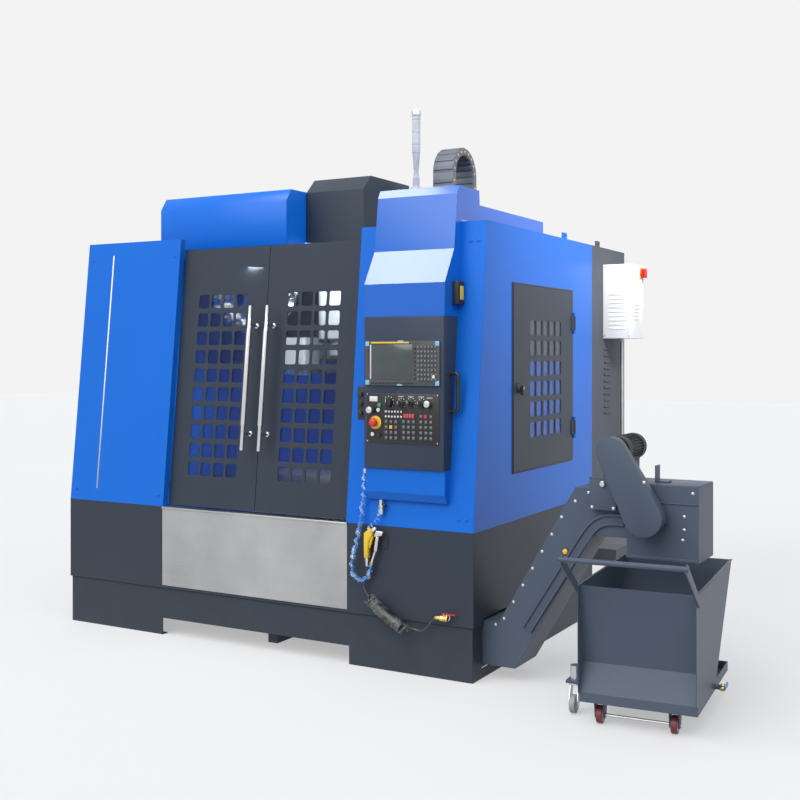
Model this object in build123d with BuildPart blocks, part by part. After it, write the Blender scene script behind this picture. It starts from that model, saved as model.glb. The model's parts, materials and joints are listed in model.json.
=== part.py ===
from build123d import *
from math import asin, cos, hypot, pi, radians, sin, tan
import os

os.makedirs("parts", exist_ok=True)

# Machine envelope. X is to the right, Y to the back and Z up, from the floor under the middle of the base.
machine_width = 2600
machine_depth = 2240
machine_height = 2200
knee_height = 709
seam_height = 260
lean_angle = 5.9
skin = 4
touch_gap = 0.3
running_clearance = 0.05

half_width = machine_width / 2
front_y = -machine_depth / 2
rear_y = machine_depth / 2
machine = Plane.XY


# Helpers: each adds one form to the part that is being built.
def placed(plane, frame):
    return Plane(frame.location * plane.location)


def block(x, y, z, frame=machine, mode=Mode.ADD):
    with BuildSketch(placed(Plane.XY.offset(z[0]), frame)) as outline:
        with Locations(((x[0] + x[1]) / 2, (y[0] + y[1]) / 2)):
            Rectangle(x[1] - x[0], y[1] - y[0])
    extrude(outline.sketch, amount=z[1] - z[0], mode=mode)


def side_profile(points, x, frame=machine, mode=Mode.ADD, corner=0.0):
    """A profile of (y, z) points, drawn from the side and carried across from x[0] to x[1]."""
    with BuildSketch(placed(Plane.YZ.offset(x[0]), frame)) as outline:
        Polygon(*points, align=None)
        if corner:
            fillet(outline.vertices(), corner)
    extrude(outline.sketch, amount=x[1] - x[0], mode=mode)


def front_profile(points, y, frame=machine, mode=Mode.ADD, corner=0.0):
    """A profile of (x, z) points, drawn from the front and carried back from y[0] to y[1]."""
    front = Plane(origin=(0, y[1], 0), x_dir=(1, 0, 0), z_dir=(0, -1, 0))
    with BuildSketch(placed(front, frame)) as outline:
        Polygon(*points, align=None)
        if corner:
            fillet(outline.vertices(), corner)
    extrude(outline.sketch, amount=y[1] - y[0], mode=mode)


def top_profile(points, z, frame=machine, mode=Mode.ADD, corner=0.0):
    with BuildSketch(placed(Plane.XY.offset(z[0]), frame)) as outline:
        Polygon(*points, align=None)
        if corner:
            fillet(outline.vertices(), corner)
    extrude(outline.sketch, amount=z[1] - z[0], mode=mode)


def round_bar(axis, centre, radius, span, frame=machine, mode=Mode.ADD):
    """A cylinder along one axis; centre holds the two other coordinates in X, Y, Z order."""
    planes = {
        "x": Plane.YZ.offset(span[0]),
        "y": Plane(origin=(0, span[1], 0), x_dir=(1, 0, 0), z_dir=(0, -1, 0)),
        "z": Plane.XY.offset(span[0]),
    }
    with BuildSketch(placed(planes[axis], frame)) as outline:
        with Locations(centre):
            Circle(radius)
    extrude(outline.sketch, amount=span[1] - span[0], mode=mode)


def leaning_plane(inward=0.0):
    """The plane of the leaning front: x across, y up along the lean, and its normal pointing outwards."""
    lean = radians(lean_angle)
    outward = Vector(0, -cos(lean), sin(lean))
    return Plane(origin=Vector(0, front_y, knee_height) - outward * inward, x_dir=(1, 0, 0), z_dir=outward)


def leaning_block(x, up, inward, mode=Mode.ADD):
    with BuildSketch(leaning_plane(inward[1])) as outline:
        with Locations(((x[0] + x[1]) / 2, (up[0] + up[1]) / 2)):
            Rectangle(x[1] - x[0], up[1] - up[0])
    extrude(outline.sketch, amount=inward[1] - inward[0], mode=mode)


def window_grid(plane, centre, columns, rows, pitch, size, depth):
    """Cuts a grid of rounded windows through a skin."""
    with BuildSketch(plane) as panes:
        with Locations(centre):
            with GridLocations(pitch[0], pitch[1], columns, rows):
                RectangleRounded(size[0], size[1], window_corner)
    extrude(panes.sketch, amount=depth, mode=Mode.SUBTRACT)


def lean_y(z):
    return front_y + (z - knee_height) * tan(radians(lean_angle))


def lean_up(z):
    return (z - knee_height) / cos(radians(lean_angle))


def hinge_moving_part(axis, barrels, low, high):
    """Bored barrels with a tongue that joins them to the leaf."""
    for barrel_z in barrels:
        block((low[0], high[0]), (low[1], high[1]), (barrel_z, barrel_z + barrel_length))
        round_bar("z", axis, hinge_radius, (barrel_z, barrel_z + barrel_length))
        round_bar(
            "z",
            axis,
            hinge_pin_radius + running_clearance,
            (barrel_z - 1, barrel_z + barrel_length + 1),
            mode=Mode.SUBTRACT,
        )


def hinge_fixed_part(axis, barrels, low, high):
    """A pin held by a knuckle above and below each barrel."""
    for barrel_z in barrels:
        for knuckle in (
            (barrel_z - 20, barrel_z - touch_gap),
            (barrel_z + barrel_length + touch_gap, barrel_z + barrel_length + 20),
        ):
            block((low[0], high[0]), (low[1], high[1]), knuckle)
            round_bar("z", axis, hinge_radius, knuckle)
        round_bar("z", axis, hinge_pin_radius, (barrel_z - 10, barrel_z + barrel_length + 10))


def lifting_eye(y):
    """A plate with a hole that stands on the top edge of the right side."""
    block((half_width - 14, half_width - skin), (y - 30, y + 30), (machine_height - 60, machine_height + 34))
    round_bar("x", (y, machine_height + 14), 10, (half_width - 15, half_width - skin + 1), mode=Mode.SUBTRACT)


def rod(start, end, radius):
    with BuildSketch(Plane(origin=start, z_dir=Vector(*end) - Vector(*start))) as outline:
        Circle(radius)
    extrude(outline.sketch, amount=(Vector(*end) - Vector(*start)).length)


def shelled_profile(points, x, wall):
    """A closed sheet housing with a side profile and a plate at each end."""
    side_profile(points, x)
    with BuildSketch(Plane.YZ.offset(x[0] + wall)) as hollow:
        Polygon(*points, align=None)
        offset(amount=-wall)
    extrude(hollow.sketch, amount=x[1] - x[0] - 2 * wall, mode=Mode.SUBTRACT)


def save(piece, name):
    piece.part.label = name
    export_step(piece.part, "parts/" + name + ".step")


# Openings of the enclosure
door_left_x = -597
door_right_x = 589
door_split_x = -8
door_gap = 3
door_recess = 45
door_thickness = 36
door_bottom = 13
door_top = 1443
door_travel = 480
side_panel_rear_y = 511
side_door_y = (-663, 176)
side_door_z = (954, 1906)
window_corner = 12
window_size = (70, 75)
window_pitch = (86.8, 103)
window_columns = 4
window_rows = 10
window_centre_x = 302
window_centre_up = 681
side_window_size = (73, 79)
side_window_pitch = (91, 106.8)
side_window_columns = 5
side_window_rows = 6
side_window_centre = (-227, 1422.5)

# Hinges of the side door and the cabinet door
hinge_radius = 8
hinge_pin_radius = 4
barrel_length = 80
side_hinge = (half_width + 12, side_door_y[1] + 8)
side_barrels = (side_door_z[0] + 140, side_door_z[1] - 220)

# Operator console
console_x = (727, 1165)
console_z = (997, 1733)
console_front_y = -1162
console_foot_z = 840
screen_unit_x = (739, 1147)
screen_unit_z = (1400, 1616)
screen_unit_depth = 10
key_panel_x = (743, 1140)
key_panel_z = (1122, 1361)
key_panel_depth = 6
estop = (791, 1219)
estop_stem_radius = 8
dial = (868, 1319)
dial_stem_radius = 5

# Machine axes
spindle_y = -150
table_length = 1000
table_width = 500
table_top_z = 835
table_thickness = 90
x_travel = 400
y_travel = 250
z_travel = 500
rail_width = 35
rail_height = 35
bed_top_z = 480
y_rail_x = 300
x_rail_y = 150
z_rail_x = 170
column_front_y = 380
column_foot_z = 520
saddle_top_z = 670
screw_radius = 16
y_screw_z = 460
x_screw_z = 690
z_screw_y = 385
truck_clearance = 0.3

# Conveyor
conveyor_y = (-1000, -745)
conveyor_front_y = conveyor_y[0]
trough_bottom_z = 67
trough_top_z = 275
incline_angle = 60
trough_end_x = 1461
trough_corner_x = 1375
head_bottom_z = 727
head_top_z = 940
hood_x = (2003, 2325)
hood_z = (640, 972)
drive_axis = (2107, 838)
motor_axis = (1957, 1122)


# Base skirt: a lower tier, a shadow joint and an upper tier, folded from sheet and open at the back
lower_inset = 8
notch_half = 607
notch_height = 92
steel_front_x = (-605, 600)
sill_depth = 90
floor_flange = 40


def u_band(outer, wall, z):
    """Sheet that runs round the front and the two sides."""
    with BuildSketch(Plane.XY.offset(z[0])) as outline:
        with BuildLine():
            Polyline(
                (-outer[0], side_panel_rear_y),
                (-outer[0], outer[1]),
                (outer[0], outer[1]),
                (outer[0], side_panel_rear_y),
                (outer[0] - wall, side_panel_rear_y),
                (outer[0] - wall, outer[1] + wall),
                (-outer[0] + wall, outer[1] + wall),
                (-outer[0] + wall, side_panel_rear_y),
                close=True,
            )
        make_face()
    extrude(outline.sketch, amount=z[1] - z[0])


shadow_joint = 3
with BuildPart() as base_skirt:
    u_band((half_width - lower_inset, front_y + lower_inset), skin, (0, seam_height - shadow_joint))
    u_band((half_width, front_y), skin, (seam_height, knee_height))
    u_band((half_width - skin, front_y + lower_inset + skin - 0.5), 16, (seam_height - 12, seam_height + 12))
    u_band((half_width - lower_inset, front_y + lower_inset), floor_flange, (0, skin))
    u_band((half_width, front_y), sill_depth, (knee_height - skin, knee_height))
    block((-notch_half, notch_half), (front_y, front_y + 60), (0, notch_height), mode=Mode.SUBTRACT)
    block(
        (steel_front_x[0], steel_front_x[1]),
        (front_y, front_y + sill_depth + 1),
        (seam_height + 12, knee_height),
        mode=Mode.SUBTRACT,
    )
    for edge_x in (steel_front_x[0] - skin, steel_front_x[1]):
        block((edge_x, edge_x + skin), (front_y + skin, front_y + 44), (seam_height + 12, knee_height - skin))
    block(
        (half_width - 130, half_width + 1),
        (conveyor_y[0] - 12, conveyor_y[1] + 12),
        (trough_bottom_z - 20, trough_top_z + 12),
        mode=Mode.SUBTRACT,
    )
save(base_skirt, "base_skirt")

# Stainless front panel with a rolled top lip that makes the door sill
steel_sheet = 3
with BuildPart() as stainless_front:
    side_profile(
        [
            (front_y, seam_height + 14),
            (front_y, knee_height - 14),
            (front_y - 5, knee_height - 10),
            (front_y - 5, knee_height),
            (front_y + sill_depth, knee_height),
            (front_y + sill_depth, knee_height - steel_sheet),
            (front_y + steel_sheet, knee_height - steel_sheet),
            (front_y + steel_sheet, seam_height + 14),
        ],
        (steel_front_x[0] + touch_gap, steel_front_x[1] - touch_gap),
    )
save(stainless_front, "stainless_front")

# Blue enclosure: left and right side panels, the two fixed front panels and the header with the door rail
enclosure_top_up = lean_up(machine_height)
left_panel_x = (-half_width, door_left_x - 3)
right_panel_x = (door_right_x + 5, half_width)
header_inward = (88, 128)
header_up = (1385, 1434)
rail_inward = (100, 112)
rail_top_up = door_top - skin - touch_gap


def side_wall(x):
    side_profile(
        [
            (front_y, knee_height),
            (lean_y(machine_height), machine_height),
            (side_panel_rear_y, machine_height),
            (side_panel_rear_y, knee_height),
        ],
        x,
    )


with BuildPart() as blue_enclosure:
    side_wall((-half_width, -half_width + skin))
    side_wall((half_width - skin, half_width))
    block(
        (half_width - skin - 1, half_width + 1),
        (side_door_y[0] - 6, side_door_y[1] + 6),
        (side_door_z[0] - 6, side_door_z[1] + 6),
        mode=Mode.SUBTRACT,
    )
    leaning_block(left_panel_x, (0, enclosure_top_up), (0, skin))
    leaning_block(right_panel_x, (0, enclosure_top_up), (0, skin))
    leaning_block((left_panel_x[1] - skin, left_panel_x[1]), (0, enclosure_top_up), (skin, door_recess - 8))
    leaning_block((right_panel_x[0], right_panel_x[0] + skin), (0, enclosure_top_up), (skin, door_recess - 8))
    leaning_block((-half_width + skin, half_width - skin), header_up, header_inward)
    leaning_block((-half_width + skin, half_width - skin), (header_up[1], rail_top_up), rail_inward)
    for wall in ((-half_width + skin, -half_width + 60), (half_width - 60, half_width - skin)):
        block(wall, (lean_y(machine_height) + 8, side_panel_rear_y), (machine_height - skin, machine_height))
        block(wall, (side_panel_rear_y - skin, side_panel_rear_y), (knee_height, machine_height))
    side_profile(
        [
            (console_front_y + 12, console_z[0]),
            (console_front_y + 12, console_foot_z + 40),
            (console_front_y + 32, console_foot_z),
            (lean_y(console_foot_z) + 1, console_foot_z),
            (lean_y(console_z[0]) + 1, console_z[0]),
        ],
        console_x,
    )
    hinge_fixed_part(
        side_hinge,
        side_barrels,
        (half_width, side_hinge[1] - 2),
        (side_hinge[0], side_hinge[1] + 8),
    )
    lifting_eye(80)
    block(
        (-half_width, half_width),
        (front_y - 1, side_panel_rear_y + 1),
        (seam_height, knee_height),
        mode=Mode.SUBTRACT,
    )
save(blue_enclosure, "blue_enclosure")

# Front doors: folded leaf, window pane behind the cut-out skin, and a bar handle on two posts
leaf_flange = 24
pane_thickness = 6
handle_offset = 56
handle_radius = 11
grip_radius = 14
handle_up = (330, 1105)
grip_up = (466, 976)
post_up = (422, 1003)
handle_stand = 72


def door_leaf(x, window_x):
    leaning_block(x, (door_bottom, door_top), (door_recess, door_recess + door_thickness))
    leaning_block(
        (x[0] + leaf_flange, x[1] - leaf_flange),
        (door_bottom + leaf_flange, door_top - leaf_flange),
        (door_recess + skin, door_recess + door_thickness + 1),
        mode=Mode.SUBTRACT,
    )
    leaning_block(x, (door_top - skin, door_top), (door_recess, header_inward[1]))
    window_grid(
        leaning_plane(door_recess + skin + 1),
        (window_x, window_centre_up),
        window_columns,
        window_rows,
        window_pitch,
        window_size,
        skin + 2,
    )


def door_pane(window_x):
    half_x = (window_columns - 1) * window_pitch[0] / 2 + window_size[0] / 2 + 22
    half_up = (window_rows - 1) * window_pitch[1] / 2 + window_size[1] / 2 + 22
    leaning_block(
        (window_x - half_x, window_x + half_x),
        (window_centre_up - half_up, window_centre_up + half_up),
        (door_recess + skin, door_recess + skin + pane_thickness),
    )


def bar_handle(x):
    """A tube with a thicker grip, standing off the door on two posts."""
    bar_inward = door_recess - handle_stand
    start = leaning_plane(bar_inward)
    across = Plane(origin=start.from_local_coords((x, handle_up[0], 0)), x_dir=(1, 0, 0), z_dir=start.y_dir)
    with BuildSketch(across) as tube:
        Circle(handle_radius)
    extrude(tube.sketch, amount=handle_up[1] - handle_up[0])
    with BuildSketch(across.offset(grip_up[0] - handle_up[0])) as grip:
        Circle(grip_radius)
    extrude(grip.sketch, amount=grip_up[1] - grip_up[0])
    with BuildSketch(leaning_plane(door_recess)) as posts:
        with Locations((x, post_up[0]), (x, post_up[1])):
            Circle(handle_radius - 3)
    extrude(posts.sketch, amount=handle_stand)


left_leaf_x = (door_left_x, door_split_x - door_gap / 2)
right_leaf_x = (door_split_x + door_gap / 2, door_right_x)
with BuildPart() as left_door:
    door_leaf(left_leaf_x, door_split_x - window_centre_x)
save(left_door, "left_door")
with BuildPart() as left_door_glass:
    door_pane(door_split_x - window_centre_x)
save(left_door_glass, "left_door_glass")
with BuildPart() as left_handle:
    bar_handle(door_split_x - handle_offset)
save(left_handle, "left_handle")
with BuildPart() as right_door:
    door_leaf(right_leaf_x, door_split_x + window_centre_x)
save(right_door, "right_door")
with BuildPart() as right_door_glass:
    door_pane(door_split_x + window_centre_x)
save(right_door_glass, "right_door_glass")
with BuildPart() as right_handle:
    bar_handle(door_split_x + handle_offset)
save(right_handle, "right_handle")

# Side door: dished leaf hinged at its rear edge, with a pane and a round latch
side_leaf_thickness = 30
side_leaf_x = (half_width - side_leaf_thickness, half_width + 6)
latch_y = -596
latch_z = 1379
with BuildPart() as side_door:
    block(side_leaf_x, side_door_y, side_door_z)
    block(
        (side_leaf_x[0] - 1, side_leaf_x[1] - skin),
        (side_door_y[0] + leaf_flange, side_door_y[1] - leaf_flange),
        (side_door_z[0] + leaf_flange, side_door_z[1] - leaf_flange),
        mode=Mode.SUBTRACT,
    )
    window_grid(
        Plane.YZ.offset(side_leaf_x[1] - skin - 1),
        side_window_centre,
        side_window_columns,
        side_window_rows,
        side_window_pitch,
        side_window_size,
        skin + 2,
    )
    round_bar("x", (latch_y, latch_z), 20, (side_leaf_x[1], side_leaf_x[1] + 14))
    block(
        (side_leaf_x[1] + 14, side_leaf_x[1] + 26),
        (latch_y - 9, latch_y + 9),
        (latch_z - 34, latch_z + 10),
    )
    hinge_moving_part(
        side_hinge, side_barrels, (side_leaf_x[1] - skin, side_door_y[1] - 30), (side_hinge[0], side_hinge[1])
    )
save(side_door, "side_door")
with BuildPart() as side_door_glass:
    half_y = (side_window_columns - 1) * side_window_pitch[0] / 2 + side_window_size[0] / 2 + 20
    half_z = (side_window_rows - 1) * side_window_pitch[1] / 2 + side_window_size[1] / 2 + 20
    block(
        (side_leaf_x[1] - skin - pane_thickness, side_leaf_x[1] - skin),
        (side_window_centre[0] - half_y, side_window_centre[0] + half_y),
        (side_window_centre[1] - half_z, side_window_centre[1] + half_z),
    )
save(side_door_glass, "side_door_glass")

# Cast bed: hollow from below, with raised Y rails, a chip channel, a column seat and levelling pads
bed_half_width = 480
bed_y = (-690, 930)
bed_bottom_z = 60
bed_wall = 40
pad_radius = 65
channel_half = 90
y_rail_y = (-660, 360)
with BuildPart() as machine_bed:
    block((-bed_half_width, bed_half_width), bed_y, (bed_bottom_z, bed_top_z))
    block((-z_rail_x - 130, z_rail_x + 130), (column_front_y, bed_y[1]), (bed_top_z, column_foot_z))
    block(
        (-bed_half_width - 30, bed_half_width + 30),
        (bed_y[0], bed_y[1]),
        (bed_bottom_z, bed_bottom_z + 50),
    )
    for side in (-1, 1):
        for pocket_y in (bed_y[0] + bed_wall, -120, 430):
            pocket_x = sorted((side * (channel_half + bed_wall), side * (bed_half_width - bed_wall)))
            block(pocket_x, (pocket_y, pocket_y + 460), (bed_bottom_z, bed_top_z - 60), mode=Mode.SUBTRACT)
    block((-channel_half, channel_half), bed_y, (bed_top_z - 80, column_foot_z + 1), mode=Mode.SUBTRACT)
    for side in (-1, 1):
        rail = (side * y_rail_x - rail_width / 2, side * y_rail_x + rail_width / 2)
        block(rail, y_rail_y, (bed_top_z, bed_top_z + rail_height))
    for bearing_y in (bed_y[0], column_front_y - 20):
        block(
            (-channel_half, channel_half),
            (bearing_y, bearing_y + 30),
            (bed_top_z - 80, y_screw_z + 35),
        )
        round_bar(
            "y",
            (0, y_screw_z),
            screw_radius + running_clearance,
            (bearing_y - 1, bearing_y + 31),
            mode=Mode.SUBTRACT,
        )
    for pad_x in (-430, 0, 430):
        for pad_y in (-600, 0, 400, 860):
            round_bar("z", (pad_x, pad_y), pad_radius, (0, 22))
            round_bar("z", (pad_x, pad_y), 24, (0, bed_bottom_z + 60))
save(machine_bed, "machine_bed")

# Column: tapered box casting with a screw channel, two rails and the screw bearings
column_half_width = 300
column_top_z = 2330
column_back_y = (700, 860)
z_rail_z = (1100, 2300)
z_channel_half = 80
with BuildPart() as column:
    side_profile(
        [
            (column_front_y, column_foot_z),
            (column_front_y, column_top_z),
            (column_back_y[0], column_top_z),
            (column_back_y[1], 1200),
            (column_back_y[1], column_foot_z),
        ],
        (-column_half_width, column_half_width),
    )
    for window_z in (700, 1140, 1580, 1960):
        block(
            (-column_half_width + 70, column_half_width - 70),
            (column_front_y + 110, column_back_y[1] + 1),
            (window_z, window_z + 300),
            mode=Mode.SUBTRACT,
        )
    block(
        (-z_channel_half, z_channel_half),
        (column_front_y - 1, column_front_y + 60),
        (column_foot_z + 180, column_top_z + 1),
        mode=Mode.SUBTRACT,
    )
    for side in (-1, 1):
        rail = (side * z_rail_x - rail_width / 2, side * z_rail_x + rail_width / 2)
        block(rail, (column_front_y - rail_height, column_front_y), z_rail_z)
    for bearing_z in (z_rail_z[0], column_top_z - 40):
        block(
            (-z_channel_half, z_channel_half),
            (z_screw_y - 35, column_front_y + 60),
            (bearing_z, bearing_z + 40),
        )
        round_bar(
            "z",
            (0, z_screw_y),
            screw_radius + running_clearance,
            (bearing_z - 1, bearing_z + 41),
            mode=Mode.SUBTRACT,
        )
save(column, "column")

# Tool change drive: a cam box on two arms from the side of the column, with the change arm below it
arm_axis_x = -340
arm_radius = 340
arm_z = (1430, 1460)
cam_box_z = (1475, 1650)
cam_box_half = 85
arm_stem_radius = 30
with BuildPart() as cam_box:
    block(
        (arm_axis_x - cam_box_half, arm_axis_x + cam_box_half),
        (spindle_y - cam_box_half, spindle_y + cam_box_half),
        cam_box_z,
    )
    fillet(cam_box.edges().filter_by(Axis.Z), 16)
    block(
        (arm_axis_x - cam_box_half + 5, -column_half_width),
        (spindle_y + cam_box_half, column_front_y + 120),
        (cam_box_z[0] + 45, cam_box_z[1] - 30),
    )
    round_bar(
        "z",
        (arm_axis_x, spindle_y),
        arm_stem_radius + running_clearance,
        (cam_box_z[0] - 1, cam_box_z[0] + 80),
        mode=Mode.SUBTRACT,
    )
save(cam_box, "cam_box")
with BuildPart() as change_arm:
    with BuildSketch(Plane.XY.offset(arm_z[0])) as arm_outline:
        with Locations((arm_axis_x, spindle_y)):
            SlotOverall(2 * arm_radius + 70, 96, rotation=90)
        with Locations((arm_axis_x, spindle_y - arm_radius), (arm_axis_x, spindle_y + arm_radius)):
            Circle(30, mode=Mode.SUBTRACT)
        for end in (-1, 1):
            with Locations((arm_axis_x + end * 45, spindle_y + end * arm_radius)):
                Rectangle(90, 44, mode=Mode.SUBTRACT)
    extrude(amount=arm_z[1] - arm_z[0])
    round_bar("z", (arm_axis_x, spindle_y), 60, (arm_z[0] - 10, arm_z[1] + 8))
    round_bar("z", (arm_axis_x, spindle_y), arm_stem_radius, (arm_z[1], cam_box_z[0] + 70))
save(change_arm, "change_arm")

# Saddle: rides the Y rails, carries the X rails, the X screw bearings and the X motor
saddle_half_width = 480
saddle_half_depth = 240
truck_half = 35
with BuildPart() as saddle:
    block(
        (-saddle_half_width, saddle_half_width),
        (spindle_y - saddle_half_depth, spindle_y + saddle_half_depth),
        (bed_top_z + 50, saddle_top_z),
    )
    block(
        (-saddle_half_width - 1, saddle_half_width + 1),
        (spindle_y - 50, spindle_y + 50),
        (saddle_top_z - 30, saddle_top_z + 1),
        mode=Mode.SUBTRACT,
    )
    for side in (-1, 1):
        for truck_y in (spindle_y - saddle_half_depth, spindle_y + saddle_half_depth - 120):
            truck = (side * y_rail_x - truck_half, side * y_rail_x + truck_half)
            slot_half = rail_width / 2 + truck_clearance
            slot = (side * y_rail_x - slot_half, side * y_rail_x + slot_half)
            block(truck, (truck_y, truck_y + 120), (bed_top_z + 10, bed_top_z + 50))
            block(
                slot,
                (truck_y - 1, truck_y + 121),
                (bed_top_z, bed_top_z + rail_height + truck_clearance),
                mode=Mode.SUBTRACT,
            )
        rail_y = spindle_y + side * x_rail_y
        block(
            (-saddle_half_width, saddle_half_width),
            (rail_y - rail_width / 2, rail_y + rail_width / 2),
            (saddle_top_z, saddle_top_z + rail_height),
        )
        bearing_x = sorted((side * (saddle_half_width - 30), side * saddle_half_width))
        block(bearing_x, (spindle_y - 50, spindle_y + 50), (saddle_top_z - 30, x_screw_z + 34))
        round_bar(
            "x",
            (spindle_y, x_screw_z),
            screw_radius + running_clearance,
            (bearing_x[0] - 1, bearing_x[1] + 1),
            mode=Mode.SUBTRACT,
        )
    block((-45, 45), (spindle_y - 45, spindle_y + 45), (y_screw_z - 35, bed_top_z + 50))
    round_bar(
        "y",
        (0, y_screw_z),
        screw_radius + running_clearance,
        (spindle_y - 46, spindle_y + 46),
        mode=Mode.SUBTRACT,
    )
    block((saddle_half_width, saddle_half_width + 14), (spindle_y - 50, spindle_y + 50), (620, 740))
    block((saddle_half_width + 14, saddle_half_width + 120), (spindle_y - 48, spindle_y + 48), (642, 738))
save(saddle, "saddle")

# Work table with five T-slots; its trucks wrap the X rails and its nut rides the X screw
slot_pitch = 100
slot_width = 18
slot_depth = 30
tee_width = 32
tee_depth = 14
table_bottom_z = table_top_z - table_thickness
with BuildPart() as work_table:
    block(
        (-table_length / 2, table_length / 2),
        (spindle_y - table_width / 2, spindle_y + table_width / 2),
        (table_bottom_z, table_top_z),
    )
    fillet(work_table.edges().filter_by(Axis.Z), 12)
    with BuildSketch(Plane.YZ.offset(-table_length / 2 - 1)) as tee_slots:
        with Locations((spindle_y, table_top_z - slot_depth / 2)):
            with GridLocations(slot_pitch, 1, 5, 1):
                Rectangle(slot_width, slot_depth)
        with Locations((spindle_y, table_top_z - slot_depth + tee_depth / 2)):
            with GridLocations(slot_pitch, 1, 5, 1):
                Rectangle(tee_width, tee_depth)
    extrude(amount=table_length + 2, mode=Mode.SUBTRACT)
    for side in (-1, 1):
        rail_y = spindle_y + side * x_rail_y
        for truck_x in (-300, 180):
            block(
                (truck_x, truck_x + 120),
                (rail_y - truck_half, rail_y + truck_half),
                (saddle_top_z + 10, table_bottom_z),
            )
            slot_half = rail_width / 2 + truck_clearance
            block(
                (truck_x - 1, truck_x + 121),
                (rail_y - slot_half, rail_y + slot_half),
                (saddle_top_z, saddle_top_z + rail_height + truck_clearance),
                mode=Mode.SUBTRACT,
            )
    block((-45, 45), (spindle_y - 40, spindle_y + 40), (x_screw_z - 32, table_bottom_z))
    round_bar("x", (spindle_y, x_screw_z), screw_radius + running_clearance, (-46, 46), mode=Mode.SUBTRACT)
save(work_table, "work_table")

# Ball screws with a turned-down journal at each end
with BuildPart() as x_screw:
    round_bar("x", (spindle_y, x_screw_z), screw_radius, (-saddle_half_width + 2, saddle_half_width - 1))
save(x_screw, "x_screw")
with BuildPart() as y_screw:
    round_bar("y", (0, y_screw_z), screw_radius, (bed_y[0] + 2, column_front_y + 9))
save(y_screw, "y_screw")
with BuildPart() as z_screw:
    round_bar("z", (0, z_screw_y), screw_radius, (z_rail_z[0] + 2, column_top_z - 1))
save(z_screw, "z_screw")

# Axis motors on flange plates: Y in the tunnel under the column, Z on the column top
motor_half = 50
with BuildPart() as axis_motors:
    block(
        (-motor_half, motor_half),
        (column_front_y + 10, column_front_y + 24),
        (bed_top_z - 80, y_screw_z + 50),
    )
    block((-motor_half + 4, motor_half - 4), (column_front_y + 24, column_front_y + 150), (414, 506))
    block((-90, 90), (320, 450), (column_top_z, column_top_z + 20))
    block((-65, 65), (320, 450), (column_top_z + 20, column_top_z + 200))
    fillet(axis_motors.faces().sort_by(Axis.Z)[-1].edges(), 10)
    round_bar("z", (0, z_screw_y), 45, (column_top_z + 200, column_top_z + 230))
save(axis_motors, "axis_motors")

# Spindle head: cast box on four trucks, round nose, and the spindle motor on top
head_half_width = 150
head_y = (-285, 340)
head_z = (1640, 2150)
nose_radius = 110
nose_end_z = 1540
spindle_radius = 45
spindle_end_z = 1500
with BuildPart() as spindle_head:
    block((-head_half_width, head_half_width), (head_y[0], head_y[1] - 40), head_z)
    chamfer(spindle_head.edges().filter_by(Axis.Z).sort_by(Axis.Y)[:2], 45)
    block((-z_rail_x - truck_half, z_rail_x + truck_half), (head_y[1] - 40, head_y[1] - 6), (1650, 2140))
    for side in (-1, 1):
        for truck_z in (1650, 2020):
            block(
                (side * z_rail_x - truck_half, side * z_rail_x + truck_half),
                (head_y[1] - 6, column_front_y - 8),
                (truck_z, truck_z + 120),
            )
        slot_half = rail_width / 2 + truck_clearance
        block(
            (side * z_rail_x - slot_half, side * z_rail_x + slot_half),
            (column_front_y - rail_height - truck_clearance, column_front_y),
            (1640, 2160),
            mode=Mode.SUBTRACT,
        )
    block((-40, 40), (head_y[1] - 10, column_front_y + 40), (1860, 1940))
    round_bar("z", (0, z_screw_y), screw_radius + running_clearance, (1859, 1941), mode=Mode.SUBTRACT)
    round_bar("z", (0, spindle_y), nose_radius, (nose_end_z, head_z[0]))
    round_bar("z", (0, spindle_y), 100, (head_z[1], head_z[1] + 350))
    round_bar(
        "z",
        (0, spindle_y),
        spindle_radius + running_clearance,
        (nose_end_z - 1, head_z[0]),
        mode=Mode.SUBTRACT,
    )
save(spindle_head, "spindle_head")

# Spindle with a steep taper bore and two drive keys
taper_radius = 22
with BuildPart() as spindle:
    with BuildSketch(Plane.XZ.offset(-spindle_y)) as spindle_half:
        Polygon(
            (0, head_z[0] - touch_gap),
            (spindle_radius, head_z[0] - touch_gap),
            (spindle_radius, spindle_end_z),
            (taper_radius, spindle_end_z),
            (taper_radius - 12, spindle_end_z + 82),
            (0, spindle_end_z + 82),
            align=None,
        )
    revolve(axis=Axis((0, spindle_y, 0), (0, 0, 1)))
    for side in (-1, 1):
        key_x = sorted((side * (taper_radius + 4), side * (spindle_radius - 2)))
        block(key_x, (spindle_y - 8, spindle_y + 8), (spindle_end_z - 8, spindle_end_z + 4))
save(spindle, "spindle")

# Head shroud: folded cover with a chamfered front, and the shelf that carries the cable chain
shroud_half = 200
shroud_y = (-300, 250)
shroud_top_z = 2600
chain_x = (383, 520)
chain_centre = (385, 2660)
chain_radius = 144
chain_thickness = 52
chain_shelf_z = 2450
chain_anchor_z = 2150
sheet = 3
with BuildPart() as head_shroud:
    shelled_profile(
        [
            (shroud_y[0], head_z[1]),
            (shroud_y[0], shroud_top_z - 85),
            (shroud_y[0] + 85, shroud_top_z),
            (shroud_y[1], shroud_top_z),
            (shroud_y[1], head_z[1]),
        ],
        (-shroud_half, shroud_half),
        sheet,
    )
    block(
        (-head_half_width + 20, head_half_width - 20),
        (shroud_y[0] + 40, shroud_y[1] - 40),
        (head_z[1] - 1, head_z[1] + sheet + 1),
        mode=Mode.SUBTRACT,
    )
    leg_y = chain_centre[0] - chain_radius
    block((shroud_half, chain_x[1]), (leg_y - 70, leg_y + 30), (chain_shelf_z - 6, chain_shelf_z))
    block((shroud_half, chain_x[1] - 40), (leg_y - 70, leg_y - 64), (chain_shelf_z - 80, chain_shelf_z))
save(head_shroud, "head_shroud")

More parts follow.
